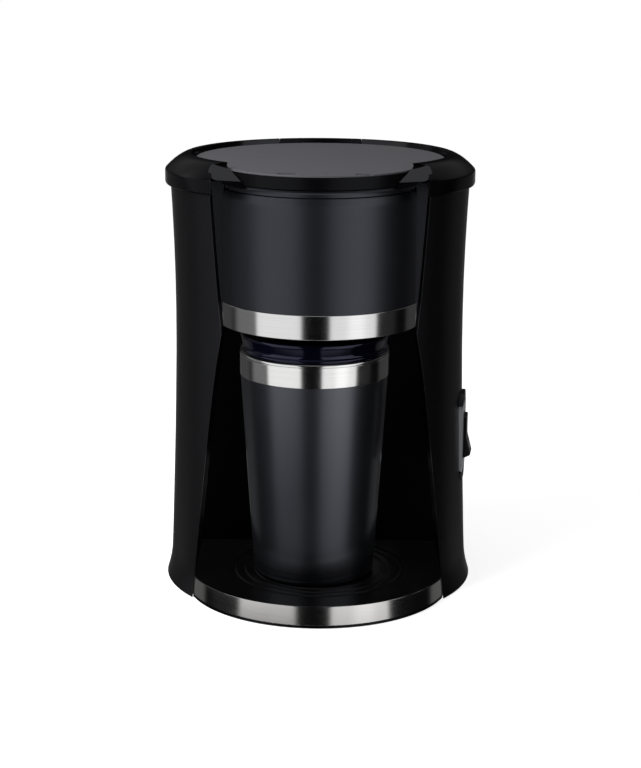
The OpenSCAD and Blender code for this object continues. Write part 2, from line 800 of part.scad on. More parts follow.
module riser_seal() color("#b9b2a6") at_axis() {
    z0 = tank_top + flange_t;
    translate([riser_x, riser_y, 0]) {
        ring(riser_r + 3, riser_r + pin_gap, z0, z0 + 2);
        ring(riser_r + 2, riser_r + pin_gap, z0 + 2, channel_z0 - run_gap);
    }
}

// ---------------------------------------------------------------- electrics

// The housing's outside, seen from the switch, with a hair's clearance.
module switch_wall() {
    translate([-switch_r, 0, -switch_z]) rotate([0, 0, switch_turn])
        shell_form(-seat_gap / 2, switch_z - 40, switch_z + 40, $fn = 360);
}

// The hole that the rocker swings in.
module rocker_hole() {
    half = rocker_reach + 0.9;
    translate([-10, -rocker_w / 2 - run_gap, -half]) cube([20, rocker_w + 2 * run_gap, 2 * half]);
}

// A plate with rounded corners, standing on edge along +X from x0 to x1.
module upright_plate(w, h, corner, x0, x1) {
    translate([x0, 0, 0]) rotate([90, 0, 90])
        linear_extrude(x1 - x0) {
            for (s = [-1, 1], t = [-1, 1]) translate([s * (w / 2 - corner), t * (h / 2 - corner)])
                circle(r = corner);
            square([w - 2 * corner, h], center = true);
            square([w, h - 2 * corner], center = true);
        }
}

module switch_frame() color("#0f0f11") at_axis() at_switch() {
    plug_h = switch_frame_h - 4 - 2 * seat_gap;
    difference() {
        union() {
            difference() {
                upright_plate(switch_w, switch_frame_h, 9, -3, switch_proud - 0.1);
                switch_wall();
            }
            upright_slot(slot_w - 2 * seat_gap, plug_h, -plug_d, 0.8);
        }
        // The band that the plate lies on.
        difference() {
            translate([-plug_d, -switch_w, -plate_h / 2 - seat_gap])
                cube([plug_d + 10, 2 * switch_w, plate_h + 2 * seat_gap]);
            upright_slot(slot_w - 2 * seat_gap, plug_h, -2 * plug_d, 0);
        }
        rocker_hole();
        along_y(-pivot_depth, -far / 2, 0) cylinder(r = pivot_r + pin_gap, h = far);
    }
}

module switch_plate() color("#b4b7ba") at_axis() at_switch() {
    difference() {
        upright_plate(switch_w, plate_h, 2.4, -3, switch_proud);
        switch_wall();
        upright_slot(slot_w, switch_frame_h, -4, seat_gap);
        rocker_hole();
    }
}

module rocker() color("#0b0b0c") at_axis() at_switch() {
    top = 2.8;
    low = top + tan(rocker_swing - 1) * rocker_reach * 0.8;
    pin_w = rocker_w + 3.4;
    rotate([90, 0, 0]) translate([0, 0, -rocker_w / 2])
        linear_extrude(rocker_w)
            polygon([
                [-4, -5], [-pivot_depth + 1, -rocker_reach + 1.2], [2, -rocker_reach + 0.3],
                [low - 0.3, -rocker_reach * 0.86], [low, -rocker_reach * 0.8], [top, 0],
                [top, rocker_reach - 1.1], [top - 0.4, rocker_reach - 0.7], [-1, rocker_reach - 0.8],
                [-4, 5]
            ]);
    along_y(-pivot_depth, -pin_w / 2, 0) cylinder(r = pivot_r, h = pin_w);
}

module switch_body() color("#26272a") at_axis() at_switch() {
    depth = 7;
    height = 28;
    half = slot_w / 2 - 1.5;
    translate([-plug_d - depth, -half, -height / 2]) cube([depth, 2 * half, height]);
    // Blade terminals.
    for (i = [-1:1])
        translate([2 - plug_d - depth, half - eps, i * height / 3 - blade_w / 2])
            cube([0.8, blade_l, blade_w]);
}

module terminal_block() color("#d6d3c8") at_axis() {
    way = 8;
    translate([terminal_x, terminal_y, platform_z]) difference() {
        cube([14, 3 * way + 2, 12]);
        for (i = [0:2]) {
            translate([7, 5 + way * i, 5]) cylinder(r = 2, h = 20);
            along_x(-1, 5 + way * i, 5) cylinder(r = 1.4, h = 20);
        }
    }
}

// A round lead through a list of points.
module lead(points, r) {
    for (i = [0:len(points) - 2]) {
        run = points[i + 1] - points[i];
        translate(points[i]) rotate([0, acos(run[2] / norm(run)), atan2(run[1], run[0])])
            cylinder(r = r, h = norm(run), $fn = 24);
    }
    for (i = [1:len(points) - 2]) translate(points[i]) sphere(r = r + 0.2, $fn = 24);
}

module wiring() at_axis() {
    x = terminal_x + 15;
    y = terminal_y + 5;
    z = platform_z + 5;
    // Live, to the switch.
    color("#6b3f1d")
        lead([[x, y, z], [10, 66, z], [52, 56, 22], [73, 26, 34], [75.5, 10, 60], [72.6, 4.2, 74.5]], lead_r);
    // Neutral, to the heating element.
    color("#2f4d8a")
        lead([[x, y + 8, z], [-30, 60, 34], [-44, 46, 46], [-48, element_y + 3, element_z + 5]], lead_r);
    // Switched live, to the thermostat.
    color("#3f7a3a")
        lead([[x, y + 16, z], [0, 69, z], [20, 58, 44], [23, element_y + 6, heater_top + 11]], lead_r);
}

module cord_gland() color("#151515") at_axis() {
    face_y = shell_r(gland_z) + 1.3;
    difference() {
        union() {
            along_y(0, face_y - gland_l, gland_z) cylinder(r = gland_r, h = gland_l);
            difference() {
                along_y(0, face_y - gland_flange_t, gland_z) cylinder(r = gland_flange_r, h = gland_flange_t);
                shell_form(-seat_gap / 2, bead_z - 4, waist_z, $fn = 360);
            }
        }
        along_y(0, 0, gland_z) cylinder(r = cord_r, h = far);
    }
}

// ---------------------------------------------------------------- lid

module lid_form(inset, z0, z1) {
    translate([0, 0, z0]) cylinder(r = lid_r - inset, h = z1 - z0);
    at_head() translate([0, 0, z0]) cylinder(r = lobe_r - inset, h = z1 - z0);
}

// Tilts what lies level with the lid's top to the disc's slope, about the lid's front edge.
module sloped() {
    front = head_forward + lobe_r;
    translate([0, -front, lid_top]) rotate([lid_slope, 0, 0]) translate([0, front, -lid_top]) children();
}

module lid_shell() color("#111214") at_axis() {
    difference() {
        union() {
            difference() {
                lid_form(0, lid_z0, lid_top + 3);
                lid_form(2.2, lid_z0 - 1, lid_plate_z);
                sloped() translate([-far, -far, lid_edge_z]) cube([2 * far, 2 * far, far]);
            }
            intersection() {
                knuckle_form(0);
                union() {
                    collar_ring(lid_z0 + 1, [[rim_in_r, lid_z0 + 1]]);
                    intersection() {
                        translate([0, 0, lid_z0 + 1]) cylinder(r = rim_in_r + 1, h = far);
                        sloped() translate([-far, -far, 0]) cube([2 * far, 2 * far, lid_edge_z]);
                    }
                }
            }
            for (p = channel_screw_spots) translate([p[0], p[1], lid_plate_z - 2]) cylinder(r = 3, h = 2.4);
        }
        sloped() lid_form(disc_inset - seat_gap, lid_top - disc_t, lid_top + 9);
        along_x(-far, hinge_y, hinge_z) cylinder(r = hinge_pin_r + pin_gap, h = 2 * far);
        for (p = channel_screw_spots) translate([p[0], p[1], lid_plate_z - 5]) cylinder(r = 1.1, h = 6.2);
    }
}

module lid_disc() color("#55585c") at_axis() {
    sloped() lid_form(disc_inset, lid_top - disc_t, lid_top);
}

// The water channel under the lid, from above the riser to above the basket.
module channel_form(inset, z0, z1) {
    run = [riser_x, riser_y] - [0, basket_y];
    translate([0, basket_y, z0]) cylinder(r = hub_r - inset, h = z1 - z0);
    translate([riser_x, riser_y, z0]) cylinder(r = channel_end_r - inset, h = z1 - z0);
    translate([0, basket_y, z0]) rotate([0, 0, atan2(run[1], run[0])])
        translate([0, inset - channel_w / 2, 0]) cube([norm(run), channel_w - 2 * inset, z1 - z0]);
}

module water_channel() color("#202124") at_axis() {
    z1 = lid_plate_z - 2;
    half = channel_ear_w / 2;
    difference() {
        union() {
            channel_form(0, channel_z0, z1);
            // Ears for the screws.
            for (p = channel_screw_spots)
                translate([p[0] > 0 ? 0 : p[0] - half, p[1] - half, channel_z0 + 0.3])
                    cube([abs(p[0]) + half, channel_ear_w, z1 - channel_z0 - 0.3]);
        }
        channel_form(channel_wall, channel_z0 + 1, z1 + 1);
        translate([riser_x, riser_y, 0]) cylinder(r = riser_r - 1.2, h = 3 * far);
        translate([0, basket_y, 0]) {
            cylinder(r = 1.2, h = 3 * far);
            for (a = [0:45:315]) rotate([0, 0, a]) translate([12, 0, 0]) cylinder(r = 1.2, h = 3 * far);
        }
        for (p = channel_screw_spots) translate([p[0], p[1], 0]) cylinder(r = 1.2, h = 3 * far);
    }
}

module channel_screws() color("#a3a6aa") at_axis() {
    for (p = channel_screw_spots) translate([p[0], p[1], channel_z0 - 1]) {
        cylinder(r = 2.4, h = 1.2);
        cylinder(r = 1.05, h = lid_plate_z - channel_z0 + 0.8);
    }
}

// ---------------------------------------------------------------- mug

module mug_body() color("#1d2024") at_axis() at_mug() {
    z0 = mug_z0 + 1;
    neck_r = mug_r - 0.8;
    rotate_extrude()
        polygon([
            [mug_wall_r(z0) - mug_wall, z0], [mug_wall_r(z0), z0], [mug_r - 0.3, mug_band_z - 0.1],
            [neck_r, mug_band_z - 0.1], [neck_r, mug_top], [neck_r - mug_wall, mug_top],
            [neck_r - mug_wall, mug_band_z - 4]
        ]);
}

module mug_band() color("#c6c8ca") at_axis() at_mug() {
    in_r = mug_r - 0.8 + 0.02;
    rotate_extrude()
        polygon([
            [in_r, mug_band_z], [mug_r - 0.2, mug_band_z], [mug_r, mug_band_z + 0.2], [mug_r, mug_top - 0.4],
            [mug_r - 0.3, mug_top - 0.05], [in_r, mug_top]
        ]);
}

module mug_liner() color("#b7babd") at_axis() at_mug() {
    z0 = mug_z0 + mug_base_h;
    out_top = mug_r - 0.8 - mug_wall - 1.2;
    lip_z = mug_top + lip_h;
    out_low = mug_wall_r(z0) - mug_wall - liner_gap;
    rotate_extrude()
        polygon([
            [0, z0], [out_low, z0], [out_top, mug_top - 3], [out_top, mug_top],
            [mug_r - 0.9, mug_top], [mug_r - 1.3, lip_z], [out_top - liner_t, lip_z],
            [out_top - liner_t, mug_top - 3], [out_low - liner_t, z0 + 1.2], [0, z0 + 1.2]
        ]);
}

module mug_base() color("#131315") at_axis() at_mug() {
    plug_r = mug_wall_r(mug_z0 + 1) - mug_wall - seat_gap;
    difference() {
        union() {
            translate([0, 0, mug_z0]) cylinder(r = mug_foot_r - 0.5, h = 0.95);
            translate([0, 0, mug_z0 + 0.9]) cylinder(r = plug_r, h = mug_base_h - 0.95);
        }
        translate([0, 0, mug_z0 - 1]) cylinder(r = mug_foot_r - 4, h = 1.6);
    }
}

module mug_lid() color("#10122a") at_axis() at_mug() {
    z0 = mug_lid_z0;
    z1 = mug_top + mug_lid_h;
    floor_z = z0 + lid_floor_h;
    plug_z = mug_top - 9;
    difference() {
        rotate_extrude()
            polygon([
                [0, floor_z - 2], [lid_plug_r - 2, z0 - 1], [lid_plug_r - 2, plug_z], [lid_plug_r, plug_z],
                [lid_plug_r, seal_z - 1], [lid_plug_r - 0.9, seal_z - 1],
                [lid_plug_r - 0.9, seal_z + 1], [lid_plug_r, seal_z + 1],
                [lid_plug_r, z0], [mug_r - 0.8, z0], [mug_r - 0.3, z0 + 0.5], [mug_r - 0.5, z0 + 1.6],
                [mug_r - 2.2, z0 + 3], [mug_r - 2.6, z1 - 3.2], [mug_r - 3.6, z1 - 0.9], [mug_r - 5.4, z1],
                [mug_r - 7, z1 - 0.5], [mug_r - 8.4, floor_z], [0, floor_z]
            ]);
        cylinder(r = slot_r, h = 2 * far);
        translate([0, -mug_r + 13, 0]) cylinder(r = 2.6, h = 2 * far);
    }
    // Rails that guide the closure.
    for (s = [-1, 1]) translate([s * rail_x - rail_w / 2, -10, floor_z - eps]) cube([rail_w, 34, 2.2]);
}

module mug_lid_seal() color("#3c4048") at_axis() at_mug() {
    translate([0, 0, seal_z]) rotate_extrude() translate([lid_plug_r, 0]) circle(r = 0.8, $fn = 32);
}

module sip_slider() color("#1a1d3a") at_axis() at_mug() {
    z0 = mug_lid_z0 + lid_floor_h + run_gap;
    half = rail_x - rail_w / 2 - run_gap;
    translate([-half, slot_r + 2, z0]) cube([2 * half, 15, 1.3]);
    translate([-half + 3, slot_r + 12, z0]) cube([2 * half - 6, 3, 2.4]);
}

housing_shell();
niche_liner();
top_collar();
platform();
base_band();
bottom_cover();
rubber_feet();
cover_screws();
front_panel();
head_band();
head_floor();
filter_basket();
filter_frame();
filter_mesh();
water_tank();
tank_strainer();
valve_ball();
inlet_hose();
hose_clamps();
heater_block();
heating_element();
heater_bracket();
thermostat();
thermal_fuses();
riser_hose();
riser_tube();
riser_seal();
switch_frame();
switch_plate();
switch_body();
rocker();
terminal_block();
wiring();
cord_gland();
hinge_pin();
lid_shell();
lid_disc();
water_channel();
channel_screws();
mug_body();
mug_band();
mug_liner();
mug_base();
mug_lid();
mug_lid_seal();
sip_slider();
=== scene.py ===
"""Finishes, fine detail, light and camera for the drip coffee maker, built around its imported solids.

Sizes in the classes' fields are in millimetres and angles in degrees, except where a class says otherwise.
"""

import json
import logging
import math
from contextlib import contextmanager
from dataclasses import dataclass
from enum import Enum
from typing import Callable, Iterator, Optional, Sequence, Union

import bpy
from mathutils import Matrix, Vector

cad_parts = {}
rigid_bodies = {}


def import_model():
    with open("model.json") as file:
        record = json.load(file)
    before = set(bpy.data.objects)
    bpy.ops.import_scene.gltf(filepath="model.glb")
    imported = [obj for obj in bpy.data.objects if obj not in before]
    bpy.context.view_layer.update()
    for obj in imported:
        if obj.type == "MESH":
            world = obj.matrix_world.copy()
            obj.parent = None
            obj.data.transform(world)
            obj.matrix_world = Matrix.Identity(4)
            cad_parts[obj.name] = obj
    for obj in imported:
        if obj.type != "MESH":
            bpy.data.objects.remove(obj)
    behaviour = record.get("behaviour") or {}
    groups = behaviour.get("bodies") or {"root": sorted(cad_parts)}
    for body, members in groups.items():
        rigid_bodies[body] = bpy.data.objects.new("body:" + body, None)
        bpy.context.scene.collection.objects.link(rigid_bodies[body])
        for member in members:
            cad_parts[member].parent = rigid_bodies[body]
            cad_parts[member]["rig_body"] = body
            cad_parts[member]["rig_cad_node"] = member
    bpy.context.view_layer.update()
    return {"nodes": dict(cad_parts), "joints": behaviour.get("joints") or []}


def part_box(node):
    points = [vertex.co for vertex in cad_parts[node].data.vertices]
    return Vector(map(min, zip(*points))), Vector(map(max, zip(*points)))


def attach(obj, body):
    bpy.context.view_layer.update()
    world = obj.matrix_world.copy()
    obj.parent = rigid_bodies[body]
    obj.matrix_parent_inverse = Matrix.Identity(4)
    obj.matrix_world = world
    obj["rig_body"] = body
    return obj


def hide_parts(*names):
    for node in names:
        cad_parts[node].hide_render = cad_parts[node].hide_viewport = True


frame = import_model()

LOG = logging.getLogger("coffee_maker")
MM = 0.001
Point = tuple[float, float]
Triple = tuple[float, float, float]
Number = Union[float, "Value"]
Part = Union[bpy.types.MeshPolygon, bpy.types.MeshVertex]


# ---------------------------------------------------------------- shader maths


class Value:
    """A shader output that takes part in Python expressions."""

    def __init__(self, graph: "Graph", socket: bpy.types.NodeSocket) -> None:
        """Wraps an output socket of a graph."""
        self.graph = graph
        self.socket = socket

    def _math(self, operation: str, first: Number, second: Number) -> "Value":
        """Adds one Math node and returns its output."""
        return self.graph.node("ShaderNodeMath", {"operation": operation}, {0: first, 1: second})

    def __add__(self, other: Number) -> "Value":
        """Returns self + other."""
        return self._math("ADD", self, other)

    def __radd__(self, other: Number) -> "Value":
        """Returns other + self."""
        return self._math("ADD", other, self)

    def __sub__(self, other: Number) -> "Value":
        """Returns self - other."""
        return self._math("SUBTRACT", self, other)

    def __rsub__(self, other: Number) -> "Value":
        """Returns other - self."""
        return self._math("SUBTRACT", other, self)

    def __mul__(self, other: Number) -> "Value":
        """Returns self * other."""
        return self._math("MULTIPLY", self, other)

    def __rmul__(self, other: Number) -> "Value":
        """Returns other * self."""
        return self._math("MULTIPLY", other, self)

    def __truediv__(self, other: Number) -> "Value":
        """Returns self / other."""
        return self._math("DIVIDE", self, other)

    def at_least(self, other: Number) -> "Value":
        """Returns the larger of self and other."""
        return self._math("MAXIMUM", self, other)

    def at_most(self, other: Number) -> "Value":
        """Returns the smaller of self and other."""
        return self._math("MINIMUM", self, other)

    def size(self) -> "Value":
        """Returns self without its sign."""
        return self._math("ABSOLUTE", self, 0.0)

    def sine(self) -> "Value":
        """Returns the sine of self."""
        return self._math("SINE", self, 0.0)

    def step(self, low: float, high: float) -> "Value":
        """Returns a smooth rise from 0 to 1 while self goes from low to high."""
        ends = {"Value": self, "From Min": low, "From Max": high, "To Min": 0.0, "To Max": 1.0}
        return self.graph.node("ShaderNodeMapRange", {"interpolation_type": "SMOOTHSTEP"}, ends)


class Graph:
    """A node tree that is written as expressions."""

    def __init__(self, tree: bpy.types.NodeTree) -> None:
        """Wraps the node tree that new nodes go into."""
        self.tree = tree

    def node(
        self,
        kind: str,
        settings: Optional[dict[str, object]] = None,
        inputs: Optional[dict[Union[int, str], object]] = None,
        output: Union[int, str] = 0,
    ) -> Value:
        """Adds a node of any kind.

        Args:
            kind: The node's type name.
            settings: Properties that are set before anything is linked.
            inputs: Values or links, by the socket's name or number.
            output: The socket that is returned.

        Returns:
            The chosen output.
        """
        made = self.tree.nodes.new(kind)
        for name, value in (settings or {}).items():
            setattr(made, name, value)
        for key, value in (inputs or {}).items():
            self.plug(made.inputs[key], value)
        return Value(self, made.outputs[output])

    def plug(self, socket: bpy.types.NodeSocket, value: object) -> None:
        """Links a value to a socket, or sets the socket to a constant.

        Args:
            socket: The input socket.
            value: A shader value, or the constant.
        """
        if isinstance(value, Value):
            self.tree.links.new(value.socket, socket)
        else:
            socket.default_value = value

    def fill(self, node: bpy.types.Node, sockets: dict[str, object]) -> None:
        """Links or sets several sockets of a node, by name."""
        for name, value in sockets.items():
            self.plug(node.inputs[name], value)

    def place(self) -> Value:
        """Returns the point on the object, in metres."""
        return self.node("ShaderNodeTexCoord", output="Object")

    def split(self, vector: Value) -> tuple[Value, Value, Value]:
        """Takes a vector apart.

        Args:
            vector: The vector.

        Returns:
            Its three parts.
        """
        parts = self.node("ShaderNodeSeparateXYZ", inputs={0: vector})
        outputs = parts.socket.node.outputs
        return Value(self, outputs[0]), Value(self, outputs[1]), Value(self, outputs[2])

    def stretch(self, vector: Value, scale: Triple) -> Value:
        """Returns the vector with each part multiplied."""
        return self.node("ShaderNodeVectorMath", {"operation": "MULTIPLY"}, {0: vector, 1: scale})

    def noise(self, vector: Value, size: float, detail: float = 2.0) -> Value:
        """Returns smooth noise from 0 to 1, with spots of a size in the vector's units."""
        spots = {"Vector": vector, "Scale": 1 / size, "Detail": detail}
        return self.node("ShaderNodeTexNoise", None, spots, "Fac")

    def mix(self, first: object, second: object, share: Number) -> Value:
        """Returns a blend of two colours, by the share of the second."""
        blend = {0: share, 6: _rgba(first), 7: _rgba(second)}
        return self.node("ShaderNodeMix", {"data_type": "RGBA"}, blend, 2)

    def bump(self, height: Value, depth: float, strength: float = 1.0) -> Value:
        """Returns a normal raised by a height from 0 to 1, whose full depth is in metres."""
        relief = {"Strength": strength, "Distance": depth, "Height": height}
        return self.node("ShaderNodeBump", None, relief)


def _rgba(colour: object) -> object:
    """Adds full alpha to a plain colour."""
    return colour if isinstance(colour, Value) else (*colour, 1.0)


# ---------------------------------------------------------------- finishes


class Gloss(Enum):
    """How smooth a moulding's surface is."""

    POLISHED = 0.14
    LINED = 0.25
    SATIN = 0.30
    LACQUERED = 0.37
    SOFT = 0.42
    DULL = 0.62


@dataclass(frozen=True)
class Finish:
    """A surface with one shader, whose pattern the subclasses draw.

    Attributes:
        slot: The record's material slot that the finish belongs to.
        colour: The main colour.
        sheen: The tint of its reflections.
    """

    slot: str
    colour: Triple
    sheen: Triple = (0.9, 0.92, 1.0)

    def make(self) -> bpy.types.Material:
        """Makes the material, once for each finish.

        Returns:
            The material.
        """
        name = f"{self.slot}_finish"
        known = bpy.data.materials.get(name)
        if known is not None:
            return known
        material = bpy.data.materials.new(name)
        material.use_nodes = True
        graph = Graph(material.node_tree)
        sockets = {"Specular Tint": _rgba(self.sheen), **self.sockets(graph)}
        graph.fill(material.node_tree.nodes["Principled BSDF"], sockets)
        return material

    def sockets(self, graph: Graph) -> dict[str, object]:
        """Returns the shader's socket values. Each kind of finish has its own."""
        raise NotImplementedError

    def toned(self, graph: Graph, darkest: float, mask: Value) -> Value:
        """Returns a blend from a darker tone of the colour to the colour itself, by a mask."""
        return graph.mix(tuple(part * darkest for part in self.colour), self.colour, mask)


@dataclass(frozen=True)
class Moulding(Finish):
    """Moulded plastic with a spark-eroded grain and faint handling marks."""

    gloss: Gloss = Gloss.SATIN
    grain: float = 0.35
    depth: float = 0.004
    level: float = 0.5

    def sockets(self, graph: Graph) -> dict[str, object]:
        """Draws the grain, soft clouds and wiped marks.

        Args:
            graph: The graph that the nodes go into.

        Returns:
            The shader's socket values, by name.
        """
        place = graph.place()
        grain = graph.noise(place, self.grain * MM, 3.0)
        cloud = graph.noise(place, 38 * MM, 3.0)
        wipe = graph.noise(graph.stretch(place, (1.0, 1.0, 0.35)), 9 * MM, 4.0).step(0.55, 0.8)
        return {
            "Base Color": self.toned(graph, 0.82, cloud * 0.7 + grain * 0.3),
            "Roughness": self.gloss.value + (cloud - 0.5) * 0.06 + wipe * 0.035,
            "Specular IOR Level": self.level,
            "Normal": graph.bump(grain, self.depth * MM, 0.6),
        }


@dataclass(frozen=True)
class BrushedSteel(Finish):
    """Steel brushed round the object, so that its lines lie level."""

    gloss: Gloss = Gloss.POLISHED
    depth: float = 0.004

    def sockets(self, graph: Graph) -> dict[str, object]:
        """Draws the brushing in fine and coarse lines.

        Args:
            graph: The graph that the nodes go into.

        Returns:
            The shader's socket values, by name.
        """
        place = graph.place()
        fine = graph.noise(graph.stretch(place, (22.0, 22.0, 9000.0)), 1.0, 2.0)
        coarse = graph.noise(graph.stretch(place, (9.0, 9.0, 1400.0)), 1.0, 3.0)
        lines = fine * 0.6 + coarse * 0.4
        return {
            "Base Color": self.toned(graph, 0.9, lines.step(0.25, 0.7)),
            "Metallic": 1.0,
            "Roughness": self.gloss.value + (lines - 0.5) * 0.12,
            "Normal": graph.bump(lines, self.depth * MM, 0.5),
        }


@dataclass(frozen=True)
class PlainMetal(Finish):
    """Bare or plated metal with fine marks."""

    gloss: Gloss = Gloss.SATIN
    spot: float = 1.2
    depth: float = 0.006

    def sockets(self, graph: Graph) -> dict[str, object]:
        """Draws the marks.

        Args:
            graph: The graph that the nodes go into.

        Returns:
            The shader's socket values, by name.
        """
        place = graph.place()
        marks = graph.noise(place, self.spot * MM, 4.0)
        return {
            "Base Color": self.toned(graph, 0.72, marks.step(0.2, 0.65)),
            "Metallic": 1.0,
            "Roughness": self.gloss.value + (marks - 0.5) * 0.16,
            "Normal": graph.bump(marks, self.depth * MM, 0.5),
        }


@dataclass(frozen=True)
class CastMetal(Finish):
    """Die-cast metal with a coarse skin."""

    def sockets(self, graph: Graph) -> dict[str, object]:
        """Draws the skin and its stains.

        Args:
            graph: The graph that the nodes go into.

        Returns:
            The shader's socket values, by name.
        """
        place = graph.place()
        skin = graph.noise(place, 0.8 * MM, 5.0)
        stain = graph.noise(place, 14 * MM, 3.0)
        return {
            "Base Color": self.toned(graph, 0.6, stain * 0.6 + skin * 0.4),
            "Metallic": 1.0,
            "Roughness": 0.46 + (skin - 0.5) * 0.2,
            "Normal": graph.bump(skin, 0.05 * MM, 0.6),
        }


@dataclass(frozen=True)
class Lacquer(Finish):
    """Sprayed paint with fine metal flake, with or without a clear coat.

    Attributes:
        level: How much it reflects.
        ior: How steeply that grows towards the edges.
        drawn: How much its highlights are drawn out round the object.
    """

    gloss: Gloss = Gloss.SATIN
    level: float = 0.5
    ior: float = 1.5
    coat: float = 0.0
    flake: float = 0.16
    drawn: float = 0.0

    def sockets(self, graph: Graph) -> dict[str, object]:
        """Draws the flakes, the paint's slight waves and soft clouds.

        Args:
            graph: The graph that the nodes go into.

        Returns:
            The shader's socket values, by name.
        """
        place = graph.place()
        cells = {"Vector": place, "Scale": 1 / (self.flake * MM)}
        flakes = graph.node("ShaderNodeTexVoronoi", None, cells, "Distance")
        peel = graph.noise(place, 1.6 * MM, 2.0)
        cloud = graph.noise(place, 30 * MM, 2.0)
        bright = tuple(min(1.0, c * 1.18 + 0.002) for c in self.colour)
        return {
            "Base Color": graph.mix(self.colour, bright, flakes * 0.8 + cloud * 0.2),
            "Roughness": self.gloss.value + (cloud - 0.5) * 0.05,
            "Specular IOR Level": self.level,
            "IOR": self.ior,
            "Anisotropic": self.drawn,
            "Coat Weight": self.coat,
            "Coat Roughness": 0.08,
            "Normal": graph.bump(peel, 0.004 * MM, 0.6),
        }


@dataclass(frozen=True)
class ClearTint(Finish):
    """Deeply tinted clear plastic."""

    clear: float = 0.3

    def sockets(self, graph: Graph) -> dict[str, object]:
        """Draws the flow of the plastic.

        Args:
            graph: The graph that the nodes go into.

        Returns:
            The shader's socket values, by name.
        """
        place = graph.place()
        flow = graph.noise(place, 7 * MM, 3.0)
        return {
            "Base Color": self.toned(graph, 0.6, flow),
            "Roughness": 0.1 + (flow - 0.5) * 0.05,
            "Transmission Weight": self.clear,
            "IOR": 1.5,
            "Normal": graph.bump(graph.noise(place, 4 * MM, 2.0), 0.02 * MM, 0.5),
        }


@dataclass(frozen=True)
class Rubber(Finish):
    """Matt rubber or silicone with a dusty bloom."""

    gloss: Gloss = Gloss.DULL
    bloom: float = 0.25

    def sockets(self, graph: Graph) -> dict[str, object]:
        """Draws the skin and the dust on it.

        Args:
            graph: The graph that the nodes go into.

        Returns:
            The shader's socket values, by name.
        """
        place = graph.place()
        skin = graph.noise(place, 0.5 * MM, 4.0)
        dust = graph.noise(place, 6 * MM, 4.0).step(0.4, 0.75)
        pale = tuple(c + (0.5 - c) * 0.12 for c in self.colour)
        return {
            "Base Color": graph.mix(self.colour, pale, dust * self.bloom),
            "Roughness": self.gloss.value + (skin - 0.5) * 0.12,
            "Normal": graph.bump(skin, 0.02 * MM, 0.5),
        }


@dataclass(frozen=True)
class WovenMesh(Finish):
    """A fine woven metal mesh on a body turned about an upright axis.

    Attributes:
        centre: Where the axis stands, in metres.
        pitch: How far apart every second wire lies.
    """

    centre: Point = (0.0, -0.0245)
    radius: float = 32.0
    pitch: float = 0.55

    def sockets(self, graph: Graph) -> dict[str, object]:
        """Draws the wires, with painted shade in the gaps between them.

        Args:
            graph: The graph that the nodes go into.

        Returns:
            The shader's socket values, by name.
        """
        x, y, z = graph.split(graph.place())
        sides = {0: y - self.centre[1], 1: x - self.centre[0]}
        turn = graph.node("ShaderNodeMath", {"operation": "ARCTAN2"}, sides)
        wave = 2 * math.pi / (self.pitch * MM)
        warp = (turn * (self.radius * MM * wave)).sine()
        weft = (z * wave).sine()
        # The weave pattern is real, but its low parts darken the base colour to 0.35 of itself below: painted
        # shade where the wires dip and leave gaps.
        weave = warp * weft * 0.5 + 0.5
        return {
            "Base Color": self.toned(graph, 0.35, weave.step(0.15, 0.6)),
            "Metallic": 1.0,
            "Roughness": 0.3 + (1 - weave) * 0.2,
            "Normal": graph.bump(weave, 0.08 * MM, 0.8),
        }


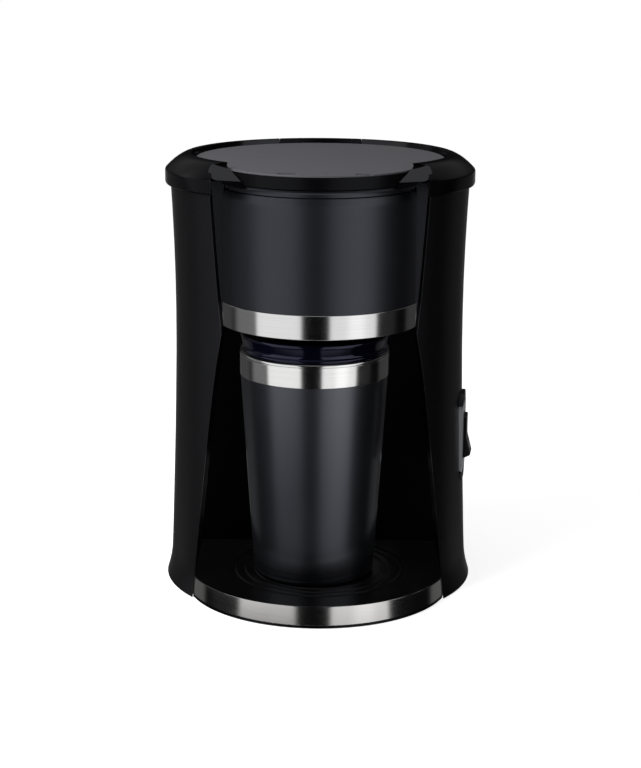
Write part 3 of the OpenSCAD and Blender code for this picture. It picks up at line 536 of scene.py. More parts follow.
class Finishes:
    """Every finish on the object, by the piece that it is on."""

    PLAIN = (1.0, 1.0, 1.0)
    COOL = (0.84, 0.87, 1.0)
    NAVY = (0.66, 0.66, 1.0)

    SHELL = Moulding("shell", (0.0016, 0.0016, 0.0021), gloss=Gloss.SATIN, grain=0.30, level=0.55)
    NICHE = Moulding("niche", (0.0004, 0.0004, 0.0004), gloss=Gloss.DULL, depth=0.010, level=0.05)
    COLLAR = Moulding("collar", (0.0020, 0.0020, 0.0025), gloss=Gloss.POLISHED, depth=0.002, level=0.28)
    BASE = Moulding("base_plastic", (0.0010, 0.0010, 0.0010), gloss=Gloss.SATIN, grain=0.20, level=0.16)
    BASE_STEEL = BrushedSteel("base_steel", (0.66, 0.65, 0.64), PLAIN)
    HEAD_STEEL = BrushedSteel("head_steel", (0.68, 0.68, 0.68), PLAIN)
    MUG_STEEL = BrushedSteel("mug_steel", (0.76, 0.76, 0.755), PLAIN)
    MUG_INSIDE = PlainMetal("mug_inside", (0.55, 0.55, 0.56), PLAIN)
    RUBBER = Rubber("rubber", (0.018, 0.018, 0.018))
    FASTENER = PlainMetal("fastener", (0.6, 0.6, 0.61), PLAIN)
    PANEL = Lacquer("panel", (0.0014, 0.0016, 0.0030), COOL, gloss=Gloss.LACQUERED, level=0.72)
    BASKET = Moulding("basket", (0.012, 0.012, 0.013), gloss=Gloss.SOFT, depth=0.008)
    MESH = WovenMesh("mesh", (0.55, 0.38, 0.12), PLAIN)
    TANK = Moulding("tank", (0.03, 0.032, 0.036), gloss=Gloss.SATIN, depth=0.006)
    WHITE = Moulding("white_plastic", (0.65, 0.64, 0.60), PLAIN, gloss=Gloss.SOFT, depth=0.006)
    SILICONE = Rubber("silicone", (0.55, 0.52, 0.47), PLAIN, gloss=Gloss.SOFT, bloom=0.4)
    CAST = CastMetal("cast", (0.45, 0.45, 0.46), PLAIN)
    ELEMENT = Rubber("heater_element", (0.60, 0.57, 0.50), PLAIN, gloss=Gloss.SOFT, bloom=0.6)
    THERMOSTAT = Moulding("thermostat", (0.04, 0.04, 0.045), gloss=Gloss.SATIN)
    SWITCH_BLACK = Moulding("switch_black", (0.003, 0.003, 0.0035), gloss=Gloss.SOFT, depth=0.006)
    SWITCH_SILVER = Lacquer("switch_silver", (0.30, 0.31, 0.32), PLAIN, gloss=Gloss.SATIN, coat=0.3)
    ROCKER = Moulding("rocker", (0.0025, 0.0025, 0.0025), gloss=Gloss.SATIN, depth=0.003)
    MARK = Moulding("rocker_mark", (0.55, 0.55, 0.54), PLAIN, gloss=Gloss.SOFT)
    WIRE = Rubber("wire", (0.15, 0.08, 0.04), gloss=Gloss.SOFT, bloom=0.2)
    LID_BLACK = Moulding("lid_black", (0.0022, 0.0022, 0.0030), gloss=Gloss.SATIN, depth=0.002, level=0.10)
    LID_GREY = Lacquer("lid_grey", (0.108, 0.107, 0.118), gloss=Gloss.SOFT, level=0.45)
    MUG_PAINT = Lacquer(
        "mug_paint", (0.0018, 0.0021, 0.0032), COOL, gloss=Gloss.LINED, level=1.0, ior=1.70, drawn=0.65
    )
    MUG_LID = ClearTint("mug_lid", (0.0022, 0.0022, 0.009), NAVY, clear=0.15)


# ---------------------------------------------------------------- modelling


class Bench:
    """Modelling moves that every sub-assembly uses.

    Attributes:
        WELD: Points nearer than this are one point.
        COPY_WELD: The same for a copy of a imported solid.
        FLAT: Faces that meet at less than this angle become one.
        EVENNESS: How much a large face counts when a piece is shaded.
    """

    WELD = 0.002
    COPY_WELD = 0.004
    FLAT = 0.06
    EVENNESS = 70

    @staticmethod
    def only(piece: bpy.types.Object) -> None:
        """Selects one object and nothing else.

        Args:
            piece: The object.
        """
        for other in bpy.context.view_layer.objects:
            other.select_set(False)
        piece.select_set(True)
        bpy.context.view_layer.objects.active = piece

    @staticmethod
    @contextmanager
    def edit(piece: bpy.types.Object) -> Iterator[None]:
        """Opens a piece in edit mode, with all of it selected, and closes it again.

        Args:
            piece: The piece.

        Returns:
            The context in which it is open.
        """
        Bench.only(piece)
        bpy.ops.object.mode_set(mode="EDIT")
        bpy.ops.mesh.select_all(action="SELECT")
        try:
            yield
        finally:
            bpy.ops.object.mode_set(mode="OBJECT")

    @staticmethod
    def choose(piece: bpy.types.Object, kind: str, wanted: Callable[[Part], bool]) -> None:
        """Selects faces or points by a test, in edit mode.

        Args:
            piece: The piece that is open.
            kind: FACE or VERT.
            wanted: Says whether a face or a point is selected.
        """
        bpy.ops.mesh.select_mode(type=kind)
        bpy.ops.mesh.select_all(action="DESELECT")
        bpy.ops.object.mode_set(mode="OBJECT")
        for part in piece.data.polygons if kind == "FACE" else piece.data.vertices:
            part.select = wanted(part)
        bpy.ops.object.mode_set(mode="EDIT")

    @staticmethod
    def settle(piece: bpy.types.Object) -> None:
        """Moves the piece's place, turn and scale into its mesh."""
        Bench.only(piece)
        bpy.ops.object.transform_apply(location=True, rotation=True, scale=True)

    @staticmethod
    def outward(piece: bpy.types.Object) -> None:
        """Merges doubles and turns every face outwards.

        Args:
            piece: The piece.
        """
        with Bench.edit(piece):
            bpy.ops.mesh.remove_doubles(threshold=Bench.WELD * MM)
            bpy.ops.mesh.normals_make_consistent(inside=False)

    @staticmethod
    def soften(piece: bpy.types.Object, width: float, segments: int = 2, angle: float = 30.0) -> None:
        """Rounds the piece's edges.

        Args:
            piece: The piece.
            width: The width of the rounding, in millimetres.
            segments: How many steps it has.
            angle: Edges sharper than this are rounded, in degrees.
        """
        Bench.only(piece)
        bevel = piece.modifiers.new("soften", "BEVEL")
        bevel.width = width * MM
        bevel.segments = segments
        bevel.limit_method = "ANGLE"
        bevel.angle_limit = math.radians(angle)
        bevel.use_clamp_overlap = True
        bpy.ops.object.modifier_apply(modifier=bevel.name)

    @staticmethod
    def smooth(piece: bpy.types.Object, angle: float = 32.0) -> None:
        """Shades the piece smooth except at sharp edges, with its large faces kept flat.

        Args:
            piece: The piece.
            angle: Edges sharper than this stay sharp, in degrees.
        """
        Bench.only(piece)
        bpy.ops.object.shade_smooth_by_angle(angle=math.radians(angle))
        even = piece.modifiers.new("even", "WEIGHTED_NORMAL")
        even.keep_sharp = True
        even.weight = Bench.EVENNESS
        bpy.ops.object.modifier_apply(modifier=even.name)

    @staticmethod
    def cut(piece: bpy.types.Object, cutter: bpy.types.Object) -> None:
        """Takes the cutter's space out of the piece and removes the cutter.

        Args:
            piece: The piece.
            cutter: The form that is taken out.
        """
        Bench.only(piece)
        bite = piece.modifiers.new("cut", "BOOLEAN")
        bite.operation = "DIFFERENCE"
        bite.solver = "EXACT"
        bite.object = cutter
        bpy.ops.object.modifier_apply(modifier=bite.name)
        bpy.data.objects.remove(cutter, do_unlink=True)

    @staticmethod
    def joined(pieces: Sequence[bpy.types.Object]) -> bpy.types.Object:
        """Makes one object of several.

        Args:
            pieces: The objects, whose first one takes in the rest.

        Returns:
            The first object.
        """
        Bench.only(pieces[0])
        for piece in pieces[1:]:
            piece.select_set(True)
        bpy.ops.object.join()
        return bpy.context.object

    @staticmethod
    def copied(piece: bpy.types.Object, name: str, move: Vector) -> bpy.types.Object:
        """Copies a piece with a mesh of its own.

        Args:
            piece: The piece that is copied.
            name: The copy's name.
            move: Where the copy goes from there.

        Returns:
            The copy, with its place in its mesh.
        """
        Bench.only(piece)
        bpy.ops.object.duplicate()
        bpy.context.object.location = move
        return Bench.named(name)

    @staticmethod
    def turned(name: str, centre: Vector, profile: Sequence[Point], sides: int = 96) -> bpy.types.Object:
        """Turns a closed section about an upright axis.

        Args:
            name: The piece's name.
            centre: A point on the axis, whose height is added to the section's.
            profile: Radius and height pairs in millimetres, anticlockwise. A first or last radius of 0
                closes the form on its axis, and otherwise the section closes on itself.
            sides: How many faces go round.

        Returns:
            The piece, in place.
        """
        points = [(r * MM, z * MM + centre.z) for r, z in profile]
        open_ends = profile[0][0] == 0 and profile[-1][0] == 0
        if not open_ends:
            points.append(points[0])
        start = 1 if open_ends else 0
        radius, height = points[start]
        bpy.ops.mesh.primitive_circle_add(
            vertices=sides, radius=radius, location=(centre.x, centre.y, height)
        )
        piece = Bench.named(name)
        last = len(points) - (2 if open_ends else 1)
        with Bench.edit(piece):
            bpy.ops.mesh.select_mode(type="VERT")
            if open_ends:
                Bench._close_on_axis(points[0][1] - height)
                Bench.choose(piece, "VERT", lambda point: (point.co.xy - centre.xy).length > radius / 2)
            for index in range(start + 1, last + 1):
                next_radius, next_height = points[index]
                bpy.ops.mesh.extrude_region_move(
                    TRANSFORM_OT_translate={"value": (0.0, 0.0, next_height - height)}
                )
                if abs(next_radius - radius) > 1e-9:
                    share = next_radius / radius
                    bpy.ops.transform.resize(
                        value=(share, share, 1.0), center_override=(centre.x, centre.y, next_height)
                    )
                radius, height = next_radius, next_height
            if open_ends:
                Bench._close_on_axis(points[-1][1] - height)
        Bench.outward(piece)
        return piece

    @staticmethod
    def _close_on_axis(rise: float) -> None:
        """Closes the selected ring with a cap whose middle lies higher by a rise."""
        bpy.ops.mesh.extrude_region_move(TRANSFORM_OT_translate={"value": (0.0, 0.0, rise)})
        bpy.ops.mesh.merge(type="CENTER")

    @staticmethod
    def rod(name: str, low: Vector, height: float, radius: float, sides: int = 32) -> bpy.types.Object:
        """Starts an upright round piece, for further shaping.

        Args:
            name: The piece's name.
            low: The middle of its lower end.
            height: Its height, in metres.
            radius: Its radius, in metres.
            sides: How many faces go round.

        Returns:
            The piece, in place.
        """
        middle = low + Vector((0.0, 0.0, height / 2))
        bpy.ops.mesh.primitive_cylinder_add(vertices=sides, radius=radius, depth=height, location=middle)
        return Bench.named(name)

    @staticmethod
    def block(name: str, low: Vector, high: Vector) -> bpy.types.Object:
        """Starts a piece from a box between two corners, for further shaping.

        Args:
            name: The piece's name.
            low: The corner with the lowest numbers.
            high: The corner with the highest.

        Returns:
            The piece, in place.
        """
        bpy.ops.mesh.primitive_cube_add(size=1.0, location=(low + high) / 2)
        bpy.context.object.scale = high - low
        return Bench.named(name)

    @staticmethod
    def named(name: str) -> bpy.types.Object:
        """Names the object that was just added and settles it.

        Args:
            name: The name of the object and its mesh.

        Returns:
            The object.
        """
        piece = bpy.context.object
        piece.name = piece.data.name = name
        Bench.settle(piece)
        return piece


@dataclass
class Assembly:
    """A sub-assembly of the object, with the pieces that dress it and the body that they move with."""

    body: str

    def dress(self, node: str, finish: Finish) -> None:
        """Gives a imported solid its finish.

        Args:
            node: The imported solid.
            finish: Its finish.
        """
        solid = frame["nodes"][node]
        solid.data.materials.clear()
        solid.data.materials.append(finish.make())
        LOG.info("dressed %s with %s", node, finish.slot)

    def mount(
        self, piece: bpy.types.Object, finish: Finish, *nodes: str, slot: str = ""
    ) -> bpy.types.Object:
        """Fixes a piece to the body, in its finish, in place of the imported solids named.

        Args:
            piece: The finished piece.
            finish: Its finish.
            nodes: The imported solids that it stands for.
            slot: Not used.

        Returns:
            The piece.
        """
        piece.data.materials.clear()
        piece.data.materials.append(finish.make())
        if nodes:
            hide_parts(*nodes)
        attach(piece, self.body)
        LOG.info("made %s on %s, %d faces", piece.name, self.body, len(piece.data.polygons))
        return piece

    def refined(self, node: str, finish: Finish, width: float, segments: int = 2) -> bpy.types.Object:
        """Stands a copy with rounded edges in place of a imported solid.

        Args:
            node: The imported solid.
            finish: The copy's finish.
            width: The width of the rounding, in millimetres.
            segments: How many steps the rounding has.

        Returns:
            The copy.
        """
        piece = self.loose_copy(node)
        Bench.soften(piece, width, segments)
        Bench.smooth(piece)
        return self.mount(piece, finish, node)

    def loose_copy(self, node: str) -> bpy.types.Object:
        """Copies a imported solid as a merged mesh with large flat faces.

        Args:
            node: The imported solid.

        Returns:
            The copy, on no body yet.
        """
        Bench.only(frame["nodes"][node])
        bpy.ops.object.duplicate()
        piece = bpy.context.object
        piece.name = piece.data.name = f"{node}_form"
        piece.parent = None
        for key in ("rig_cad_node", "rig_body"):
            del piece[key]
        bpy.ops.mesh.customdata_custom_splitnormals_clear()
        with Bench.edit(piece):
            bpy.ops.mesh.remove_doubles(threshold=Bench.COPY_WELD * MM)
            bpy.ops.mesh.dissolve_limited(angle_limit=math.radians(Bench.FLAT))
        return piece


# ---------------------------------------------------------------- sub-assemblies


@dataclass
class Housing(Assembly):
    """The outer shell, the bay behind the mug and the collar round the lid."""

    edge: float = 0.5
    liner_edge: float = 0.4
    collar_edge: float = 0.6
    gland_edge: float = 0.6
    knuckle_half: float = 24.0
    washer_bore: float = 1.55
    washer_r: float = 4.92
    washer_t: float = 0.26
    washer_play: float = 0.02

    def build(self) -> None:
        """Dresses the housing."""
        shell = self.refined("housing_shell", Finishes.SHELL, self.edge, 3)
        liner = self.refined("niche_liner", Finishes.NICHE, self.liner_edge)
        shell.visible_glossy = liner.visible_glossy = False
        self.refined("top_collar", Finishes.COLLAR, self.collar_edge, 3)
        self.dress("hinge_pin", Finishes.FASTENER)
        self.refined("cord_gland", Finishes.RUBBER, self.gland_edge)
        self._washers()

    def _washers(self) -> None:
        """Fills the gaps beside the lid's knuckle with thin washers on the pin."""
        low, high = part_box("hinge_pin")
        hinge = Vector((0.0, (low.y + high.y) / 2, (low.z + high.z) / 2))
        bore, rim, thick = self.washer_bore, self.washer_r, self.washer_t
        ring = [(bore, 0.0), (rim, 0.0), (rim, thick), (bore, thick)]
        washer = Bench.turned("hinge_washer", Vector(), ring, 64)
        washer.rotation_euler = (0.0, math.pi / 2, 0.0)
        Bench.settle(washer)
        inner = self.knuckle_half + self.washer_play
        washer.location = hinge + Vector((inner * MM, 0.0, 0.0))
        Bench.settle(washer)
        across = Vector((-(2 * inner + thick) * MM, 0.0, 0.0))
        for piece in (washer, Bench.copied(washer, "hinge_washer_2", across)):
            Bench.smooth(piece)
            self.mount(piece, Finishes.COLLAR)


@dataclass
class Base(Assembly):
    """The platform, its steel band, the cover beneath, and the feet.

    Attributes:
        rings: The radii of the grooves round the mug's place.
        ring_half: Half the width of a groove's floor.
        ring_shift: How far the grooves' middle lies in front of the filter's.
        corner_foot: How high the fillers at the band's ends begin.
        corner_out: How far they lie outside the band's end.
        corner_back: How far they lie behind it.
    """

    rings: tuple[float, ...] = (36.5, 42.0, 47.5)
    ring_half: float = 0.75
    ring_slope: float = 0.7
    ring_depth: float = 0.62
    ring_shift: float = 4.0
    corner_r: float = 0.9
    corner_h: float = 4.0
    corner_foot: float = 0.7
    corner_out: float = 0.3
    corner_back: float = 0.9
    corner_edge: float = 0.25
    edge: float = 0.3
    band_edge: float = 0.15
    foot_edge: float = 0.25

    def build(self) -> None:
        """Dresses the base."""
        self._platform()
        self._corners()
        self.refined("base_band", Finishes.BASE_STEEL, self.band_edge)
        self.refined("bottom_cover", Finishes.BASE, self.edge)
        self.refined("rubber_feet", Finishes.RUBBER, self.foot_edge)
        self.dress("cover_screws", Finishes.FASTENER)

    def _corners(self) -> None:
        """Closes the corners between the band's ends and the shell."""
        _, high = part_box("base_band")
        foot = Vector((high.x + self.corner_out * MM, high.y + self.corner_back * MM, self.corner_foot * MM))
        corner = Bench.rod("band_corner", foot, self.corner_h * MM, self.corner_r * MM, 24)
        Bench.soften(corner, self.corner_edge, 2, 60)
        twin = Bench.copied(corner, "band_corner_2", Vector((-2 * foot.x, 0.0, 0.0)))
        for piece in (corner, twin):
            Bench.smooth(piece)
            self.mount(piece, Finishes.BASE)

    def _platform(self) -> None:
        """Gives the rings round the mug's place soft sloping sides."""
        _, platform_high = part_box("platform")
        basket_low, basket_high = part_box("filter_basket")
        middle = (basket_low.y + basket_high.y) / 2 - self.ring_shift * MM
        centre = Vector((0.0, middle, platform_high.z))
        platform = self.loose_copy("platform")
        slope, floor = self.ring_slope, -self.ring_depth
        for radius in self.rings:
            inner, outer = radius - self.ring_half, radius + self.ring_half
            groove = [
                (inner - slope - 0.5, 0.3), (inner - slope, -0.06), (inner, floor),
                (outer, floor), (outer + slope, -0.06), (outer + slope + 0.5, 0.3),
            ]
            Bench.cut(platform, Bench.turned("ring_cutter", centre, groove, 128))
        Bench.soften(platform, self.edge, 2, 50)
        Bench.smooth(platform, 24)
        self.mount(platform, Finishes.BASE, "platform")


@dataclass
class BrewHead(Assembly):
    """The head's front, its steel band, and the filter inside."""

    edge: float = 0.3
    band_edge: float = 0.15
    floor_edge: float = 0.4

    def build(self) -> None:
        """Dresses the head."""
        self.refined("front_panel", Finishes.PANEL, self.edge)
        self.refined("head_band", Finishes.HEAD_STEEL, self.band_edge)
        self.refined("head_floor", Finishes.BASE, self.floor_edge)
        self.refined("filter_basket", Finishes.BASKET, self.floor_edge)
        self.refined("filter_frame", Finishes.BASKET, self.edge)
        self.dress("filter_mesh", Finishes.MESH)


@dataclass
class WaterSystem(Assembly):
    """The tank, the heater and what joins them."""

    edge: float = 0.3

    def build(self) -> None:
        """Dresses the water system."""
        self.refined("water_tank", Finishes.TANK, self.edge)
        self.dress("tank_strainer", Finishes.WHITE)
        for node in ("inlet_hose", "riser_hose", "riser_tube", "riser_seal"):
            self.dress(node, Finishes.SILICONE)
        for node in ("hose_clamps", "heater_bracket", "thermal_fuses"):
            self.dress(node, Finishes.FASTENER)
        self.dress("heater_block", Finishes.CAST)
        self.dress("heating_element", Finishes.ELEMENT)
        self.dress("thermostat", Finishes.THERMOSTAT)


@dataclass
class Valve(Assembly):
    """The loose ball under the tank's outlet."""

    def build(self) -> None:
        """Dresses the ball."""
        self.dress("valve_ball", Finishes.WHITE)


@dataclass
class Switch(Assembly):
    """The switch's frame and plate on the right-hand side, and what is wired to it."""

    edge: float = 0.3
    plate_edge: float = 0.2

    def build(self) -> None:
        """Dresses the switch and the wiring."""
        self.refined("switch_frame", Finishes.SWITCH_BLACK, self.edge)
        self.refined("switch_plate", Finishes.SWITCH_SILVER, self.plate_edge)
        self.dress("switch_body", Finishes.SWITCH_BLACK)
        self.dress("terminal_block", Finishes.WHITE)
        self.dress("wiring", Finishes.WIRE)


@dataclass
class Rocker(Assembly):
    """The rocker of the switch, with its on and off marks.

    Attributes:
        top: How far its upper half stands out of the housing's wall.
        pivot_depth: How far its pivot lies inside that wall's face.
        lean: How far the lower half leans out.
        mark_rise: How far each mark's middle is from the pivot.
        mark_h: How high the marks are.
        mark_w: How wide their strokes are.
        mark_t: How thick they are.
        mark_sink: How far they lie in the rocker.
        mark_edge: The rounding of the on mark's edges.
        edge: The rounding of the rocker's edges.
    """

    top: float = 2.8
    pivot_depth: float = 2.5
    lean: float = 14.0
    mark_rise: float = 5.6
    mark_h: float = 4.0
    mark_w: float = 0.6
    mark_t: float = 0.12
    mark_sink: float = 0.02
    mark_edge: float = 0.04
    edge: float = 0.35

    def build(self) -> None:
        """Dresses the rocker and prints its marks."""
        self.refined("rocker", Finishes.ROCKER, self.edge)
        half = self.mark_h / 2 * MM
        bar = Bench.block(
            "mark_on",
            Vector((0.0, -self.mark_w / 2 * MM, -half)),
            Vector((self.mark_t * MM, self.mark_w / 2 * MM, half)),
        )
        Bench.soften(bar, self.mark_edge)
        self._place(bar, self.mark_rise, 0.0)
        outer = self.mark_h / 2
        inner = outer - self.mark_w
        section = [(inner, 0), (outer, 0), (outer, self.mark_t), (inner, self.mark_t)]
        ring = Bench.turned("mark_off", Vector(), section, 48)
        ring.rotation_euler = (0.0, math.pi / 2, 0.0)
        Bench.settle(ring)
        self._place(ring, -self.mark_rise, self.lean)

    def _place(self, mark: bpy.types.Object, rise: float, lean: float) -> None:
        """Lays a mark that faces right on one half of the rocker.

        Args:
            mark: The mark, at the origin.
            rise: Its height above the pivot, in millimetres.
            lean: How far that half leans, in degrees.
        """
        joint = next(joint for joint in frame["joints"] if joint["name"] == "rocker_pivot")
        pivot = Vector(joint["pos_m"])
        outward = Vector((joint["axis"][1], -joint["axis"][0], 0.0))
        slope = abs(rise) * math.tan(math.radians(lean))
        out = self.pivot_depth + self.top + slope - self.mark_sink
        mark.rotation_euler = (0.0, -math.radians(lean), math.atan2(outward.y, outward.x))
        mark.location = pivot + outward * out * MM + Vector((0.0, 0.0, rise * MM))
        Bench.settle(mark)
        Bench.smooth(mark)
        self.mount(mark, Finishes.MARK, slot="rocker")


@dataclass
class Lid(Assembly):
    """The hinged lid with its grey disc and the water channel beneath.

    Attributes:
        vents: Where the steam vents begin and end across the disc.
        vent_back: How far they lie behind the disc's front.
        vent_w: How wide they are.
        vent_round: The rounding of their corners, as a share of that.
        vent_spare: How far their cutters stand out above and below the disc.
        edge: The rounding of the edges of the disc and the channel.
        shell_edge: The rounding of the lid's own edges.
    """

    vents: tuple[Point, ...] = ((-22.5, -11.0), (18.0, 27.5))
    vent_back: float = 6.5
    vent_w: float = 4.6
    vent_round: float = 0.45
    vent_spare: float = 2.0
    edge: float = 0.2
    shell_edge: float = 0.25

    def build(self) -> None:
        """Dresses the lid."""
        self.refined("lid_shell", Finishes.LID_BLACK, self.shell_edge)
        self._disc()
        self.refined("water_channel", Finishes.BASKET, self.edge)
        self.dress("channel_screws", Finishes.FASTENER)

    def _disc(self) -> None:
        """Cuts the two steam vents into the disc."""
        low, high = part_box("lid_disc")
        disc = self.loose_copy("lid_disc")
        front, spare = low.y + self.vent_back * MM, self.vent_spare * MM
        for start, end in self.vents:
            near = Vector((start * MM, front, low.z - spare))
            far = Vector((end * MM, front + self.vent_w * MM, high.z + spare))
            cutter = Bench.block("vent_cutter", near, far)
            Bench.soften(cutter, self.vent_w * self.vent_round, 4, 80)
            Bench.cut(disc, cutter)
        Bench.soften(disc, self.edge, 2, 50)
        Bench.smooth(disc)
        self.mount(disc, Finishes.LID_GREY, "lid_disc")


@dataclass
class Upright(Assembly):
    """A sub-assembly whose forms are turned about the mug's axis."""

    sides: int = 128

    def axis(self) -> Vector:
        """Returns the foot of the mug's axis."""
        low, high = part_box("mug_band")
        return Vector(((low.x + high.x) / 2, (low.y + high.y) / 2, 0.0))

    def reach(self, node: str) -> float:
        """Returns a node's radius about the axis, in millimetres."""
        low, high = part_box(node)
        return (high.x - low.x) / 2 / MM

    def levels(self, node: str) -> tuple[float, float]:
        """Returns a node's lowest and highest points, in millimetres."""
        low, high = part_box(node)
        return low.z / MM, high.z / MM

    def turn(self, name: str, profile: Sequence[Point]) -> bpy.types.Object:
        """Turns a section about the mug's axis and shades it.

        Args:
            name: The piece's name.
            profile: The section, as Bench.turned takes it.

        Returns:
            The piece, in place.
        """
        piece = Bench.turned(name, self.axis(), profile, self.sides)
        Bench.smooth(piece)
        return piece


@dataclass
class Mug(Upright):
    """The mug's painted wall, its steel band and liner, and its foot."""

    wall: float = 0.8
    neck_step: float = 0.8
    foot_step: float = 0.5
    foot_ring: float = 4.0
    liner_gap: float = 1.2
    liner_wall: float = 0.6

    def build(self) -> None:
        """Builds the mug without its lid."""
        self._wall()
        self._band()
        self._liner()
        self._foot()

    def _wall(self) -> None:
        """Turns the painted wall, with a rounded foot."""
        low, high = self.levels("mug_body")
        shoulder = self.levels("mug_band")[0] - 0.1
        rim = self.reach("mug_band")
        foot = self.reach("mug_base") + self.foot_step
        neck = rim - self.neck_step
        profile = [
            (foot - self.wall, low), (foot - 0.45, low), (foot - 0.12, low + 0.12), (foot, low + 0.5),
            (rim - 0.45, shoulder - 0.25), (rim - 0.6, shoulder), (neck, shoulder), (neck, high),
            (neck - self.wall, high), (neck - self.wall, shoulder - 4), (foot - self.wall, low + 0.6),
        ]
        self.mount(self.turn("mug_wall", profile), Finishes.MUG_PAINT, "mug_body")

    def _band(self) -> None:
        """Turns the steel band, with a rolled lip above a shallow groove."""
        low, high = self.levels("mug_band")
        rim = self.reach("mug_band")
        inner = rim - self.neck_step + 0.02
        profile = [
            (inner, low), (rim - 0.25, low), (rim - 0.05, low + 0.12), (rim, low + 0.35),
            (rim, high - 1.8), (rim - 0.08, high - 1.6), (rim - 0.02, high - 1.3),
            (rim - 0.04, high - 0.8), (rim - 0.14, high - 0.4), (rim - 0.35, high - 0.12),
            (rim - 0.6, high), (inner, high),
        ]
        self.mount(self.turn("mug_steel_band", profile), Finishes.MUG_STEEL, "mug_band")

    def _liner(self) -> None:
        """Turns the drawn steel liner with its rolled lip."""
        low, high = self.levels("mug_liner")
        rim = self.reach("mug_band")
        neck = rim - self.neck_step - self.wall
        out_low = self.reach("mug_base") + self.foot_step - self.wall - self.liner_gap
        out_top = neck - self.liner_gap
        seat = high - 0.35
        profile = [
            (0, low), (out_low - 1.5, low), (out_low - 0.4, low + 0.4), (out_low, low + 1.5),
            (out_top, seat - 3), (out_top, seat), (rim - 0.9, seat), (rim - 1.3, high),
            (out_top - self.liner_wall, high), (out_top - self.liner_wall, seat - 3),
            (out_low - self.liner_wall, low + 2.6), (out_low - 1.2, low + 1.6), (out_low - 2.6, low + 1.2),
            (0, low + 1.2),
        ]
        self.mount(self.turn("mug_steel_liner", profile), Finishes.MUG_INSIDE, "mug_liner")

    def _foot(self) -> None:
        """Turns the foot, with a ring to stand on and a hollow middle."""
        low, high = self.levels("mug_base")
        foot = self.reach("mug_base")
        plug = foot + self.foot_step - self.wall - 0.1
        profile = [
            (0, low + 0.6), (foot - self.foot_ring - 0.5, low + 0.6), (foot - self.foot_ring, low + 0.1),
            (foot - self.foot_ring + 0.3, low), (foot - 0.3, low), (foot, low + 0.25), (foot, low + 0.95),
            (plug, low + 0.95), (plug, high - 0.4), (plug - 0.4, high), (0, high),
        ]
        self.mount(self.turn("mug_foot", profile), Finishes.BASE, "mug_base")


